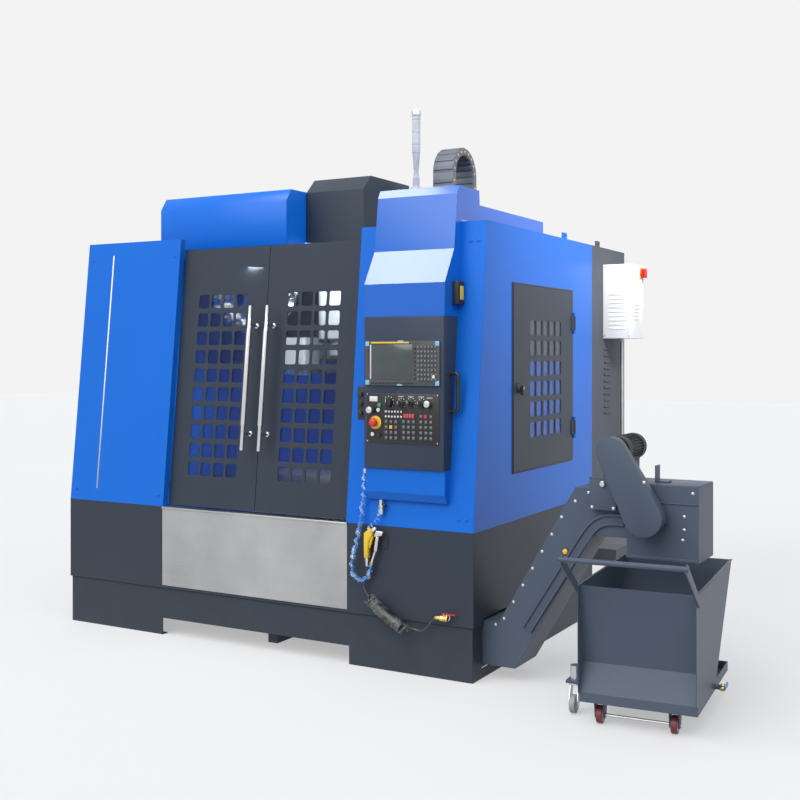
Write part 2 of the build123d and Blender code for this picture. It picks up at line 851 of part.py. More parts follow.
# Cable chain: the arch and rear leg stand on the column, the front leg lengthens as the head goes down
link_pitch = 46
rib_length = 30


def chain_link(y, z, turn):
    """One link of the chain: a rounded frame with its rib standing proud."""
    link = Plane(origin=(chain_x[0] + 4, y, z), x_dir=(0, cos(turn), sin(turn)), z_dir=(1, 0, 0))
    with BuildSketch(link) as rib:
        RectangleRounded(chain_thickness, rib_length, 5)
    extrude(rib.sketch, amount=chain_x[1] - chain_x[0] - 8)


with BuildPart() as cable_chain:
    with BuildSketch(Plane.YZ.offset(chain_x[0])) as arch:
        with Locations(chain_centre):
            Circle(chain_radius + chain_thickness / 2 - 5)
            Circle(chain_radius - chain_thickness / 2 + 5, mode=Mode.SUBTRACT)
            Rectangle(4 * chain_radius, 4 * chain_radius, align=(Align.CENTER, Align.MAX), mode=Mode.SUBTRACT)
        with Locations((chain_centre[0] + chain_radius, chain_anchor_z)):
            Rectangle(
                chain_thickness - 10,
                chain_centre[1] - chain_anchor_z,
                align=(Align.CENTER, Align.MIN),
            )
    extrude(amount=chain_x[1] - chain_x[0])
    arch_links = int(pi * chain_radius / link_pitch)
    for index in range(arch_links):
        turn = pi * (index + 0.5) / arch_links
        chain_link(
            chain_centre[0] + chain_radius * cos(turn),
            chain_centre[1] + chain_radius * sin(turn),
            turn,
        )
    for index in range(int((chain_centre[1] - chain_anchor_z) / link_pitch)):
        chain_link(chain_centre[0] + chain_radius, chain_anchor_z + 30 + index * link_pitch, 0)
    block(
        (column_half_width, chain_x[1]),
        (chain_centre[0] + chain_radius - 30, chain_centre[0] + chain_radius + 30),
        (chain_anchor_z - 8, chain_anchor_z),
    )
save(cable_chain, "cable_chain")
with BuildPart() as chain_leg:
    block(
        (chain_x[0], chain_x[1]),
        (leg_y - chain_thickness / 2 + 5, leg_y + chain_thickness / 2 - 5),
        (chain_shelf_z, chain_centre[1]),
    )
    for index in range(int((chain_centre[1] - chain_shelf_z) / link_pitch)):
        chain_link(leg_y, chain_shelf_z + 22 + index * link_pitch, 0)
save(chain_leg, "chain_leg")

# Magazine housing: folded cover with a chamfered front, on a beam from the column, with the disc's stub shaft
housing_x = (-1159, -205)
housing_front_y = -500
housing_z = (2190, 2520)
disc_centre = (-700, 2020)
disc_plate_y = (-130, -112)
stub_radius = 40
with BuildPart() as magazine_housing:
    housing_rear_y = column_front_y - 10
    shelled_profile(
        [
            (housing_front_y, housing_z[0] - sheet),
            (housing_front_y, housing_z[1] - 75),
            (housing_front_y + 50, housing_z[1]),
            (housing_rear_y, housing_z[1]),
            (housing_rear_y, housing_z[0] - sheet),
        ],
        housing_x,
        sheet,
    )
    block(
        (housing_x[0] - 1, housing_x[1] + 1),
        (housing_front_y - 1, housing_rear_y + 1),
        (housing_z[0] - sheet - 1, housing_z[0]),
        mode=Mode.SUBTRACT,
    )
    block(
        (disc_centre[0] - 160, disc_centre[0] + 160),
        disc_plate_y,
        (disc_centre[1] - 90, housing_z[1] - sheet),
    )
    round_bar("y", disc_centre, stub_radius, (disc_plate_y[0] - 110, disc_plate_y[0]))
    block(
        (disc_centre[0] - 60, disc_centre[0] + 60),
        (disc_plate_y[1], housing_rear_y),
        (housing_z[1] - 143, housing_z[1] - sheet),
    )
    block((disc_centre[0], -column_half_width), (housing_rear_y - sheet, column_front_y + 80), (2230, 2330))
save(magazine_housing, "magazine_housing")

# Tool disc: spoked plate with twenty pockets around its rim, some of them holding a tool holder
disc_radius = 345
pocket_count = 20
pocket_ring_radius = 300
disc_y = (disc_plate_y[0] - 100, disc_plate_y[0] - touch_gap)
disc_face = Plane(origin=(disc_centre[0], disc_y[1], disc_centre[1]), x_dir=(1, 0, 0), z_dir=(0, -1, 0))
with BuildPart() as tool_disc:
    with BuildSketch(disc_face):
        Circle(disc_radius)
        Circle(stub_radius + running_clearance, mode=Mode.SUBTRACT)
        with PolarLocations(170, 8):
            Circle(45, mode=Mode.SUBTRACT)
    extrude(amount=20)
    with BuildSketch(disc_face):
        Circle(80)
        Circle(stub_radius + running_clearance, mode=Mode.SUBTRACT)
    extrude(amount=60)
    with BuildSketch(disc_face.offset(20)):
        with PolarLocations(pocket_ring_radius, pocket_count):
            Circle(38)
    extrude(amount=45)
    with BuildSketch(disc_face.offset(65)):
        with PolarLocations(pocket_ring_radius, pocket_count):
            Circle(24)
    extrude(amount=45, mode=Mode.SUBTRACT, dir=(0, 1, 0))
    with BuildSketch(disc_face.offset(20)):
        with PolarLocations(pocket_ring_radius, pocket_count // 4):
            Circle(22)
    extrude(amount=100, taper=5)
save(tool_disc, "tool_disc")

# Work area guards: side slopes from the sill to the bed, a front apron over the trough and a rear wall
slope_inner_x = 520
slope_outer_x = half_width - sill_depth - 4
slope_bottom_z = 470
guard_y = (-1000, column_front_y - 12)
slope_front_y = guard_y[0] - 40
rear_guard_top_z = 1500
with BuildPart() as work_guards:
    for side in (-1, 1):
        front_profile(
            [
                (side * (half_width - skin), knee_height - skin),
                (side * (half_width - skin), knee_height - skin - sheet),
                (side * (slope_outer_x + 1), knee_height - skin - sheet),
                (side * slope_inner_x, slope_bottom_z - sheet),
                (side * bed_half_width, slope_bottom_z - sheet),
                (side * bed_half_width, slope_bottom_z),
                (side * (slope_inner_x - 1), slope_bottom_z),
                (side * slope_outer_x, knee_height - skin),
            ],
            (slope_front_y, guard_y[1]),
        )
        rear_x = sorted((side * (z_rail_x + 60), side * (half_width - sill_depth)))
        block(rear_x, (column_front_y - sheet, column_front_y), (slope_bottom_z + 50, rear_guard_top_z))
        edge_x = sorted((side * (half_width - sill_depth - 1), side * (half_width - skin)))
        block(edge_x, (column_front_y - sheet, column_front_y), (knee_height, rear_guard_top_z))
        block(
            sorted((side * (bed_half_width + 4), side * (half_width - skin))),
            (guard_y[1], column_front_y),
            (knee_height - skin - sheet, knee_height - skin),
        )
    side_profile(
        [
            (front_y + sill_depth - 20, knee_height - skin),
            (front_y + sill_depth - 20, knee_height - skin - sheet),
            (guard_y[0] - sheet, 420),
            (guard_y[0] - sheet, trough_top_z + 8),
            (guard_y[0], trough_top_z + 8),
            (guard_y[0], 421),
            (front_y + sill_depth - 16, knee_height - skin),
        ],
        (-half_width + skin, half_width - skin),
    )
save(work_guards, "work_guards")

# Rear shell: two cabinets joined by a top beam and braced to the column
cabinet_inner_x = 560
cabinet_bottom_z = 640
cabinet_door_x = (612, 1284)
cabinet_door_z = (700, 2140)
cabinet_hinge = (1294, rear_y + 14)
cabinet_barrels = (900, 1860)
with BuildPart() as rear_shell:
    for side in (-1, 1):
        box_x = sorted((side * cabinet_inner_x, side * half_width))
        block(box_x, (side_panel_rear_y, rear_y), (cabinet_bottom_z, machine_height))
        block(
            (box_x[0] + sheet, box_x[1] - sheet),
            (side_panel_rear_y + sheet, rear_y - sheet),
            (cabinet_bottom_z + sheet, machine_height - sheet),
            mode=Mode.SUBTRACT,
        )
        block(
            sorted((side * column_half_width, side * (cabinet_inner_x + 1))),
            (560, 640),
            (1800, 1900),
        )
    block(
        (-cabinet_inner_x - 1, cabinet_inner_x + 1),
        (rear_y - 120, rear_y),
        (machine_height - 100, machine_height),
    )
    block(
        (cabinet_door_x[0] - 4, cabinet_door_x[1] + 4),
        (rear_y - sheet - 1, rear_y + 1),
        (cabinet_door_z[0] - 4, cabinet_door_z[1] + 4),
        mode=Mode.SUBTRACT,
    )
    hinge_fixed_part(
        cabinet_hinge,
        cabinet_barrels,
        (cabinet_door_x[1] + 5, rear_y),
        (cabinet_hinge[0] + 6, cabinet_hinge[1]),
    )
    for index in range(11):
        for side in (-1, 1):
            with BuildSketch(Plane.YZ.offset(side * (half_width + 6))) as louvre:
                with Locations((782, 1190 + index * 39)):
                    RectangleRounded(110, 12, 5)
            extrude(louvre.sketch, amount=-side * 10, taper=8)
    for index in range(11):
        for side in (-1, 1):
            slot_x = sorted((side * (half_width - sheet - 4), side * (half_width + 3)))
            block(slot_x, (732, 832), (1182 + index * 39, 1188 + index * 39), mode=Mode.SUBTRACT)
    lifting_eye(631)
save(rear_shell, "rear_shell")

cabinet_leaf = 22
with BuildPart() as cabinet_door:
    block(cabinet_door_x, (rear_y - sheet, rear_y - sheet + cabinet_leaf), cabinet_door_z)
    block(
        (cabinet_door_x[0] + sheet, cabinet_door_x[1] - sheet),
        (rear_y - sheet - 1, rear_y - 2 * sheet + cabinet_leaf),
        (cabinet_door_z[0] + sheet, cabinet_door_z[1] - sheet),
        mode=Mode.SUBTRACT,
    )
    hinge_moving_part(
        cabinet_hinge,
        cabinet_barrels,
        (cabinet_door_x[1] - 40, cabinet_hinge[1] - 3),
        (cabinet_hinge[0], cabinet_hinge[1] + 7),
    )
    for lock_z in (1000, 1420, 1840):
        latch_face_y = rear_y - sheet + cabinet_leaf
        round_bar("y", (cabinet_door_x[0] + 40, lock_z), 14, (latch_face_y, latch_face_y + 8))
save(cabinet_door, "cabinet_door")

# Electrical plate with two rows of drives, a transformer and wiring ducts
with BuildPart() as cabinet_gear:
    gear_y = side_panel_rear_y + sheet
    block((680, 1240), (gear_y, gear_y + 4), (760, 2080))
    for drive_x in range(700, 1200, 125):
        for drive_z in (1180, 1640):
            block((drive_x, drive_x + 105), (gear_y + 4, gear_y + 200), (drive_z, drive_z + 330))
            block((drive_x + 20, drive_x + 85), (gear_y + 200, gear_y + 208), (drive_z + 190, drive_z + 290))
    for duct_z in (1100, 1545, 2000):
        block((690, 1230), (gear_y + 4, gear_y + 64), (duct_z, duct_z + 60))
    block((720, 900), (gear_y + 4, gear_y + 180), (800, 1040))
    block((960, 1200), (gear_y + 4, gear_y + 90), (820, 1000))
save(cabinet_gear, "cabinet_gear")

# White supply box with a rotary switch, and the conduit that leaves its bottom
supply_x = (half_width, 1475)
supply_y = (711, 970)
supply_z = (1646, 2097)
switch_at = (920, 2050)
switch_stem_radius = 6
conduit_radius = 10
conduit_at = (1340, 950)
with BuildPart() as supply_box:
    block(supply_x, supply_y, supply_z)
    fillet(supply_box.edges().filter_by(Axis.Z).group_by(Axis.X)[-1], 8)
    block(
        (supply_x[0] + sheet, supply_x[1] - sheet),
        (supply_y[0] + sheet, supply_y[1] - sheet),
        (supply_z[0] + sheet, supply_z[1] - sheet),
        mode=Mode.SUBTRACT,
    )
    round_bar(
        "x",
        switch_at,
        switch_stem_radius + running_clearance,
        (supply_x[1] - 10, supply_x[1] + 1),
        mode=Mode.SUBTRACT,
    )
    for index in range(5):
        block((supply_x[1] - 1, supply_x[1] + 4), (760, 860), (1760 + index * 22, 1770 + index * 22))
    round_bar("z", conduit_at, conduit_radius + 6, (supply_z[0] - 16, supply_z[0]))
save(supply_box, "supply_box")
with BuildPart() as main_switch:
    round_bar("x", switch_at, 30, (supply_x[1] + touch_gap, supply_x[1] + 14))
    block(
        (supply_x[1] + 14, supply_x[1] + 34),
        (switch_at[0] - 8, switch_at[0] + 8),
        (switch_at[1] - 28, switch_at[1] + 28),
    )
    round_bar("x", switch_at, switch_stem_radius, (supply_x[1] - 8, supply_x[1] + touch_gap))
save(main_switch, "main_switch")
with BuildPart() as side_conduit:
    with BuildLine() as conduit_path:
        FilletPolyline(
            (conduit_at[0], conduit_at[1], supply_z[0] - 16),
            (conduit_at[0], conduit_at[1], 1000),
            (half_width, conduit_at[1], 1000),
            radius=28,
        )
    with BuildSketch(Plane(origin=conduit_path.line @ 0, z_dir=conduit_path.line % 0)):
        Circle(conduit_radius)
    sweep()
save(side_conduit, "side_conduit")

# Coolant tank beside the bed, with a rear deck that carries the pump
tank_x = (520, 1270)
tank_y = (-690, 600)
tank_z = (15, 330)
deck_x = (900, 1420)
deck_y = (600, 1150)
deck_z = (300, 380)
with BuildPart() as coolant_tank:
    block(tank_x, tank_y, tank_z)
    block(
        (tank_x[0] + sheet, tank_x[1] - sheet),
        (tank_y[0] + sheet, tank_y[1] - sheet),
        (tank_z[0] + sheet, tank_z[1] - sheet),
        mode=Mode.SUBTRACT,
    )
    block((560, 1000), (-600, 200), (tank_z[1] - sheet - 1, tank_z[1] + 1), mode=Mode.SUBTRACT)
    block(deck_x, (deck_y[0] - sheet, deck_y[1]), deck_z)
    block(
        (deck_x[0] + sheet, deck_x[1] - sheet),
        (deck_y[0], deck_y[1] - sheet),
        (deck_z[0] - 1, deck_z[1] - sheet),
        mode=Mode.SUBTRACT,
    )
    left_feet, right_feet = tank_x[0] + 40, tank_x[1] - 80
    for foot in ((left_feet, -600), (right_feet, -600), (left_feet, 500), (right_feet, 500)):
        block((foot[0], foot[0] + 40), (foot[1], foot[1] + 40), (0, tank_z[0]))
    for leg_x in (deck_x[0] + sheet, deck_x[1] - 40 - sheet):
        block((leg_x, leg_x + 40), (deck_y[1] - 44, deck_y[1] - sheet), (0, deck_z[1] - sheet))
    block((tank_x[0] - 10, tank_x[0]), (-100, 100), (bed_bottom_z + 10, bed_bottom_z + 40))
    round_bar("z", (1120, 860), 95, (deck_z[1], deck_z[1] + 14))
    round_bar("z", (1120, 860), 70, (deck_z[1] + 14, deck_z[1] + 230))
save(coolant_tank, "coolant_tank")

# Chip conveyor casing: trough, incline, head and discharge hood in folded sheet
casing_profile = [
    (-1150, trough_bottom_z),
    (trough_end_x, trough_bottom_z),
    (trough_end_x + (head_bottom_z - trough_bottom_z) / tan(radians(incline_angle)), head_bottom_z),
    (hood_x[0], head_bottom_z),
    (hood_x[0], head_top_z),
    (trough_corner_x + (head_top_z - trough_top_z) / tan(radians(incline_angle)), head_top_z),
    (trough_corner_x, trough_top_z),
    (-1150, trough_top_z),
]
wear_strip_z = 95
belt_outer = 76
belt_thickness = 10
belt_middle_z = (trough_bottom_z + trough_top_z) / 2
conveyor_shaft_radius = 20
with BuildPart() as conveyor_casing:
    front_profile(casing_profile, conveyor_y)
    block(hood_x, conveyor_y, hood_z)
    with BuildSketch(Plane.XZ.offset(-conveyor_y[1] + sheet)) as casing_hollow:
        Polygon(*casing_profile, align=None)
        offset(amount=-sheet)
    extrude(amount=conveyor_y[1] - conveyor_y[0] - 2 * sheet, mode=Mode.SUBTRACT)
    inner_y = (conveyor_y[0] + sheet, conveyor_y[1] - sheet)
    block(
        (hood_x[0] + sheet, hood_x[1] - sheet),
        inner_y,
        (hood_z[0] - 1, hood_z[1] - sheet),
        mode=Mode.SUBTRACT,
    )
    block(
        (hood_x[0] - 10, hood_x[0] + 10),
        inner_y,
        (head_bottom_z + sheet, head_top_z - sheet),
        mode=Mode.SUBTRACT,
    )
    block((-1120, 1240), inner_y, (trough_top_z - sheet - 1, trough_top_z + 1), mode=Mode.SUBTRACT)
    for strip_y in (-960, -815):
        block((-1100, trough_end_x - 60), (strip_y, strip_y + 30), (trough_bottom_z + sheet, wear_strip_z))
    for foot_x in (-1000, 0, 1150):
        block((foot_x, foot_x + 60), (conveyor_y[0] + 40, conveyor_y[1] - 40), (0, trough_bottom_z))
    for brace_x in (-400, 340):
        block((brace_x, brace_x + 60), (conveyor_y[1], bed_y[0]), (100, 160))
    block((1846, 1962), (conveyor_y[0] - 36, conveyor_y[0]), (855, 995))
    block((1890, 2000), (conveyor_y[0] + 12, conveyor_y[1] - 55), (head_top_z - 1, motor_axis[1] - 62))
    block((2111, 2170), (-930, -870), (hood_z[1] - 1, hood_z[1] + 12))
    block((2111, 2117), (-930, -870), (hood_z[1], 1052))
    round_bar(
        "y",
        drive_axis,
        conveyor_shaft_radius + running_clearance,
        (conveyor_y[0] - 1, conveyor_y[1] + 1),
        mode=Mode.SUBTRACT,
    )
save(conveyor_casing, "conveyor_casing")

# Hinged steel belt as one closed band around the tail and the drive sprockets
belt_y = (-975, -770)
head_turn_x = trough_end_x - 43 + (drive_axis[1] - belt_middle_z) / tan(radians(incline_angle))
belt_route = [
    (-1060, belt_middle_z),
    (trough_end_x - 43, belt_middle_z),
    (head_turn_x, drive_axis[1]),
    drive_axis,
]
with BuildPart() as conveyor_belt:
    with BuildSketch(Plane(origin=(0, belt_y[1], 0), x_dir=(1, 0, 0), z_dir=(0, -1, 0))):
        for reach, mode in ((belt_outer, Mode.ADD), (belt_outer - belt_thickness, Mode.SUBTRACT)):
            for index in range(3):
                start = Vector(*belt_route[index])
                end = Vector(*belt_route[index + 1])
                middle = (start + end) / 2
                with Locations((middle.X, middle.Y)):
                    SlotCenterToCenter(
                        (end - start).length,
                        2 * reach,
                        rotation=incline_angle if index == 1 else 0,
                        mode=mode,
                    )
    extrude(amount=belt_y[1] - belt_y[0])
save(conveyor_belt, "conveyor_belt")

# Drive shaft with two toothed belt sprockets and the chain wheel in the guard
guard_y_span = (-1105, -1040)
tooth_count = 12
with BuildPart() as drive_shaft:
    round_bar("y", drive_axis, conveyor_shaft_radius, (guard_y_span[0] + 12, conveyor_y[1]))
    for sprocket_y in (-935, -805):
        sprocket_face = Plane(
            origin=(drive_axis[0], sprocket_y, drive_axis[1]), x_dir=(1, 0, 0), z_dir=(0, -1, 0)
        )
        with BuildSketch(sprocket_face):
            Circle(belt_outer - belt_thickness - touch_gap)
            with PolarLocations(belt_outer - belt_thickness, tooth_count):
                Circle(8, mode=Mode.SUBTRACT)
        extrude(amount=20)
    wheel_face = Plane(origin=(drive_axis[0], -1062, drive_axis[1]), x_dir=(1, 0, 0), z_dir=(0, -1, 0))
    with BuildSketch(wheel_face):
        Circle(55)
        with PolarLocations(55, 24):
            Circle(4, mode=Mode.SUBTRACT)
    extrude(amount=14)
save(drive_shaft, "drive_shaft")

# Chain guard: tapered shell around both chain wheels, open at the back and held on posts
guard_radii = (62, 86)


def guard_outline(shrink):
    """The outline around two circles: both circles and the tangent quadrilateral between them."""
    small = motor_axis
    large = drive_axis
    reach = hypot(large[0] - small[0], large[1] - small[1])
    along = Vector((large[0] - small[0]) / reach, (large[1] - small[1]) / reach)
    across = Vector(-along.Y, along.X)
    spread = asin((guard_radii[1] - guard_radii[0]) / reach)
    corners = []
    for centre, radius, side in (
        (small, guard_radii[0], 1),
        (large, guard_radii[1], 1),
        (large, guard_radii[1], -1),
        (small, guard_radii[0], -1),
    ):
        normal = across * (side * cos(spread)) - along * sin(spread)
        point = Vector(*centre) + normal * (radius - shrink)
        corners.append((point.X, point.Y))
    Polygon(*corners, align=None)
    with Locations(small):
        Circle(guard_radii[0] - shrink)
    with Locations(large):
        Circle(guard_radii[1] - shrink)


with BuildPart() as belt_guard:
    guard_back = Plane(origin=(0, guard_y_span[1], 0), x_dir=(1, 0, 0), z_dir=(0, -1, 0))
    with BuildSketch(guard_back) as guard_shape:
        guard_outline(0)
    extrude(amount=guard_y_span[1] - guard_y_span[0])
    with BuildSketch(guard_back) as guard_hollow:
        guard_outline(sheet)
    extrude(amount=guard_y_span[1] - guard_y_span[0] - sheet, mode=Mode.SUBTRACT)
    for angle in (200, 270, 340):
        post = (
            drive_axis[0] + (guard_radii[1] - 8) * cos(radians(angle)),
            drive_axis[1] + (guard_radii[1] - 8) * sin(radians(angle)),
        )
        round_bar("y", post, 7, (guard_y_span[0] + 1, conveyor_y[0]))
save(belt_guard, "belt_guard")

# Gearmotor: finned body, end cap, gearbox plate and the output shaft with its chain wheel
with BuildPart() as conveyor_motor:
    round_bar("y", motor_axis, 54, (-940, -775))
    round_bar("y", motor_axis, 60, (conveyor_y[0], -940))
    round_bar("y", motor_axis, 62, (-790, -762))
    with BuildSketch(Plane(origin=(motor_axis[0], -790, motor_axis[1]), x_dir=(1, 0, 0), z_dir=(0, -1, 0))):
        with PolarLocations(56, 28):
            Rectangle(12, 3)
    extrude(amount=150)
    block(
        (motor_axis[0] - 50, motor_axis[0] + 40),
        (conveyor_y[0] + 20, -790),
        (motor_axis[1] - 62, motor_axis[1] - 40),
    )
    round_bar("y", motor_axis, 12, (-1085, conveyor_y[0]))
    round_bar("y", motor_axis, 32, (-1076, -1062))
save(conveyor_motor, "conveyor_motor")

# Console: sheet housing on the leaning panel, the screen unit and the key panel
with BuildPart() as console_housing:
    shelled_profile(
        [
            (console_front_y, console_z[0]),
            (console_front_y, console_z[1]),
            (lean_y(console_z[1]), console_z[1]),
            (lean_y(console_z[0]), console_z[0]),
        ],
        console_x,
        sheet,
    )
    for at, stem in ((estop, estop_stem_radius), (dial, dial_stem_radius)):
        round_bar(
            "y",
            at,
            stem + running_clearance,
            (console_front_y - 1, console_front_y + 6),
            mode=Mode.SUBTRACT,
        )
save(console_housing, "console_housing")
with BuildPart() as control_panel:
    block(screen_unit_x, (console_front_y - screen_unit_depth, console_front_y), screen_unit_z)
    fillet(control_panel.edges().filter_by(Axis.Y), 4)
    block(
        (screen_unit_x[0] + 14, screen_unit_x[0] + 262),
        (console_front_y - screen_unit_depth - 1, console_front_y - screen_unit_depth + 3),
        (screen_unit_z[0] + 24, screen_unit_z[1] - 14),
        mode=Mode.SUBTRACT,
    )
    key_face = Plane(
        origin=(
            screen_unit_x[1] - 66,
            console_front_y - screen_unit_depth,
            (screen_unit_z[0] + screen_unit_z[1]) / 2,
        ),
        x_dir=(1, 0, 0),
        z_dir=(0, -1, 0),
    )
    with BuildSketch(key_face):
        with GridLocations(18.5, 22, 6, 8):
            Rectangle(13, 14)
    extrude(amount=3)
    block(key_panel_x, (console_front_y - key_panel_depth, console_front_y), key_panel_z)
    panel_face = Plane(origin=(0, console_front_y - key_panel_depth, 0), x_dir=(1, 0, 0), z_dir=(0, -1, 0))
    with BuildSketch(panel_face):
        with Locations((883, 1186), (980, 1188)):
            with GridLocations(27, 26, 3, 4):
                Rectangle(17, 17)
        with Locations((1074, 1202)):
            with GridLocations(27, 26, 3, 5):
                Rectangle(17, 17)
        with Locations((897, 1262)):
            with GridLocations(17, 24, 6, 2):
                Rectangle(12, 12)
    extrude(amount=4)
    with BuildSketch(panel_face):
        with Locations((939, 1315), (992, 1319), (1049, 1317)):
            Circle(17)
        with Locations((1089, 1315), (771, 1280)):
            Circle(13)
    extrude(amount=22)
    for at, stem in ((estop, estop_stem_radius), (dial, dial_stem_radius)):
        round_bar(
            "y",
            at,
            stem + running_clearance,
            (console_front_y - key_panel_depth - 1, console_front_y + 1),
            mode=Mode.SUBTRACT,
        )
save(control_panel, "control_panel")
button_travel = 6
with BuildPart() as estop_button:
    button_y = console_front_y - key_panel_depth
    with BuildSketch(Plane(origin=(estop[0], 0, estop[1]), x_dir=(1, 0, 0), z_dir=(0, 0, 1))) as button_half:
        with BuildLine():
            Polyline(
                (0, console_front_y - 2 + button_travel),
                (estop_stem_radius, console_front_y - 2 + button_travel),
                (estop_stem_radius, button_y - 12),
                (21, button_y - 14),
                (21, button_y - 24),
                (16, button_y - 31),
                (0, button_y - 33),
                close=True,
            )
        make_face()
    revolve(axis=Axis((estop[0], 0, estop[1]), (0, 1, 0)))
save(estop_button, "estop_button")
with BuildPart() as override_dial:
    round_bar("y", dial, 22, (button_y - 24, button_y - touch_gap))
    block((dial[0] - 4, dial[0] + 4), (button_y - 30, button_y - 20), (dial[1] - 20, dial[1] + 20))
    round_bar("y", dial, dial_stem_radius, (button_y - touch_gap, console_front_y + 4))
save(override_dial, "override_dial")

# Console cowl: wide ducted cover above the console, reaching back along the machine top
cowl_x = (721, 1166)
cowl_top_z = 2373
duct_z = (machine_height + 9, 2300)
duct_rear_y = 73
with BuildPart() as console_cowl:
    shelled_profile(
        [
            (-1156, console_z[1]),
            (-1153, 1894),
            (-1054, 2061),
            (-1019, 2332),
            (-996, cowl_top_z),
            (-773, cowl_top_z),
            (-767, duct_z[1]),
            (duct_rear_y, duct_z[1]),
            (duct_rear_y, duct_z[0]),
            (lean_y(duct_z[0]) - 8, duct_z[0]),
            (lean_y(machine_height), machine_height),
            (lean_y(console_z[1]), console_z[1]),
        ],
        cowl_x,
        sheet,
    )
    block((cowl_x[1], cowl_x[1] + 30), (-1078, lean_y(1791) - 2), (1791, 1902))
save(console_cowl, "console_cowl")

# Grab handle on the console's right side
with BuildPart() as grab_handle:
    with BuildLine() as handle_path:
        FilletPolyline(
            (console_x[1], -1095, 1279),
            (console_x[1] + 42, -1095, 1279),
            (console_x[1] + 42, -1095, 1462),
            (console_x[1], -1095, 1462),
            radius=16,
        )
    with BuildSketch(Plane(origin=handle_path.line @ 0, z_dir=handle_path.line % 0)):
        Circle(9)
    sweep()
save(grab_handle, "grab_handle")

# Hand pendant hanging on the console's left side
with BuildPart() as hand_pendant:
    block((678, 721), (-1150, -1078), (1227, 1394))
    fillet(hand_pendant.edges(), 5)
    block((720, console_x[0]), (-1128, -1098), (1330, 1374))
    for knob_z in (1262, 1308, 1354):
        round_bar("y", (699, knob_z), 13, (-1163, -1149))
save(hand_pendant, "hand_pendant")

# Signal tower on the cowl
tower_at = (880, -910)
with BuildPart() as tower_light:
    block(
        (tower_at[0] - 28, tower_at[0] + 28),
        (tower_at[1] - 28, tower_at[1] + 28),
        (cowl_top_z, cowl_top_z + 20),
    )
    fillet(tower_light.edges().filter_by(Axis.Z), 8)
    with BuildSketch(Plane.XZ.offset(-tower_at[1])):
        with Locations((tower_at[0], cowl_top_z + 19)):
            Polygon((0, 0), (25, 0), (25, 385), (23, 391), (0, 393), align=None)
    revolve(axis=Axis((tower_at[0], tower_at[1], 0), (0, 0, 1)))
save(tower_light, "tower_light")

# Wash gun and air gun on a hook plate, the air fitting under the console foot and the hose valve on the skirt
gun_y = -1150
with BuildPart() as wash_guns:
    block((715, 838), (front_y - 4, front_y), (596, 676))
    block((728, 744), (gun_y + 13, front_y - 3), (606, 640))
    block((780, 800), (gun_y + 7, front_y - 3), (606, 640))
    front_profile(
        [(724, 548), (746, 548), (748, 628), (772, 668), (758, 700), (722, 672), (722, 600)],
        (gun_y - 14, gun_y + 14),
        corner=5,
    )
    rod((733, gun_y, 510), (735, gun_y, 552), 8)
    rod((766, gun_y, 684), (786, gun_y, 702), 11)
    rod((757, gun_y, 514), (784, gun_y, 596), 6)
    rod((784, gun_y, 590), (796, gun_y, 662), 10)
    front_profile([(776, 656), (824, 664), (831, 686), (790, 689)], (gun_y - 11, gun_y + 11), corner=3)
save(wash_guns, "wash_guns")
air_x = 806
valve_at = (1160, 300)
valve_stem_radius = 5
with BuildPart() as hose_fittings:
    round_bar("z", (air_x, gun_y + 15), 10, (812, console_foot_z))
    round_bar("z", (air_x, gun_y + 15), 14, (767, 812))
    round_bar("z", (706, -1124), 9, (962, 985))
    block((700, console_x[0]), (-1130, -1118), (972, 984))
    round_bar("y", valve_at, 11, (gun_y, front_y))
    round_bar("y", valve_at, 20, (front_y - 5, front_y))
    round_bar("x", (gun_y, valve_at[1]), 14, (1138, 1180))
    round_bar("x", (gun_y, valve_at[1]), 9, (1112, 1138))
    round_bar("z", (valve_at[0], gun_y), 9, (valve_at[1], valve_at[1] + 20))
    round_bar(
        "z",
        (valve_at[0], gun_y),
        valve_stem_radius + running_clearance,
        (valve_at[1] + 4, valve_at[1] + 21),
        mode=Mode.SUBTRACT,
    )
save(hose_fittings, "hose_fittings")
with BuildPart() as valve_handle:
    block(
        (valve_at[0] - 8, valve_at[0] + 62),
        (gun_y - 9, gun_y + 9),
        (valve_at[1] + 20 + touch_gap, valve_at[1] + 24),
    )
    round_bar("z", (valve_at[0], gun_y), valve_stem_radius, (valve_at[1] + 5, valve_at[1] + 22))
save(valve_handle, "valve_handle")

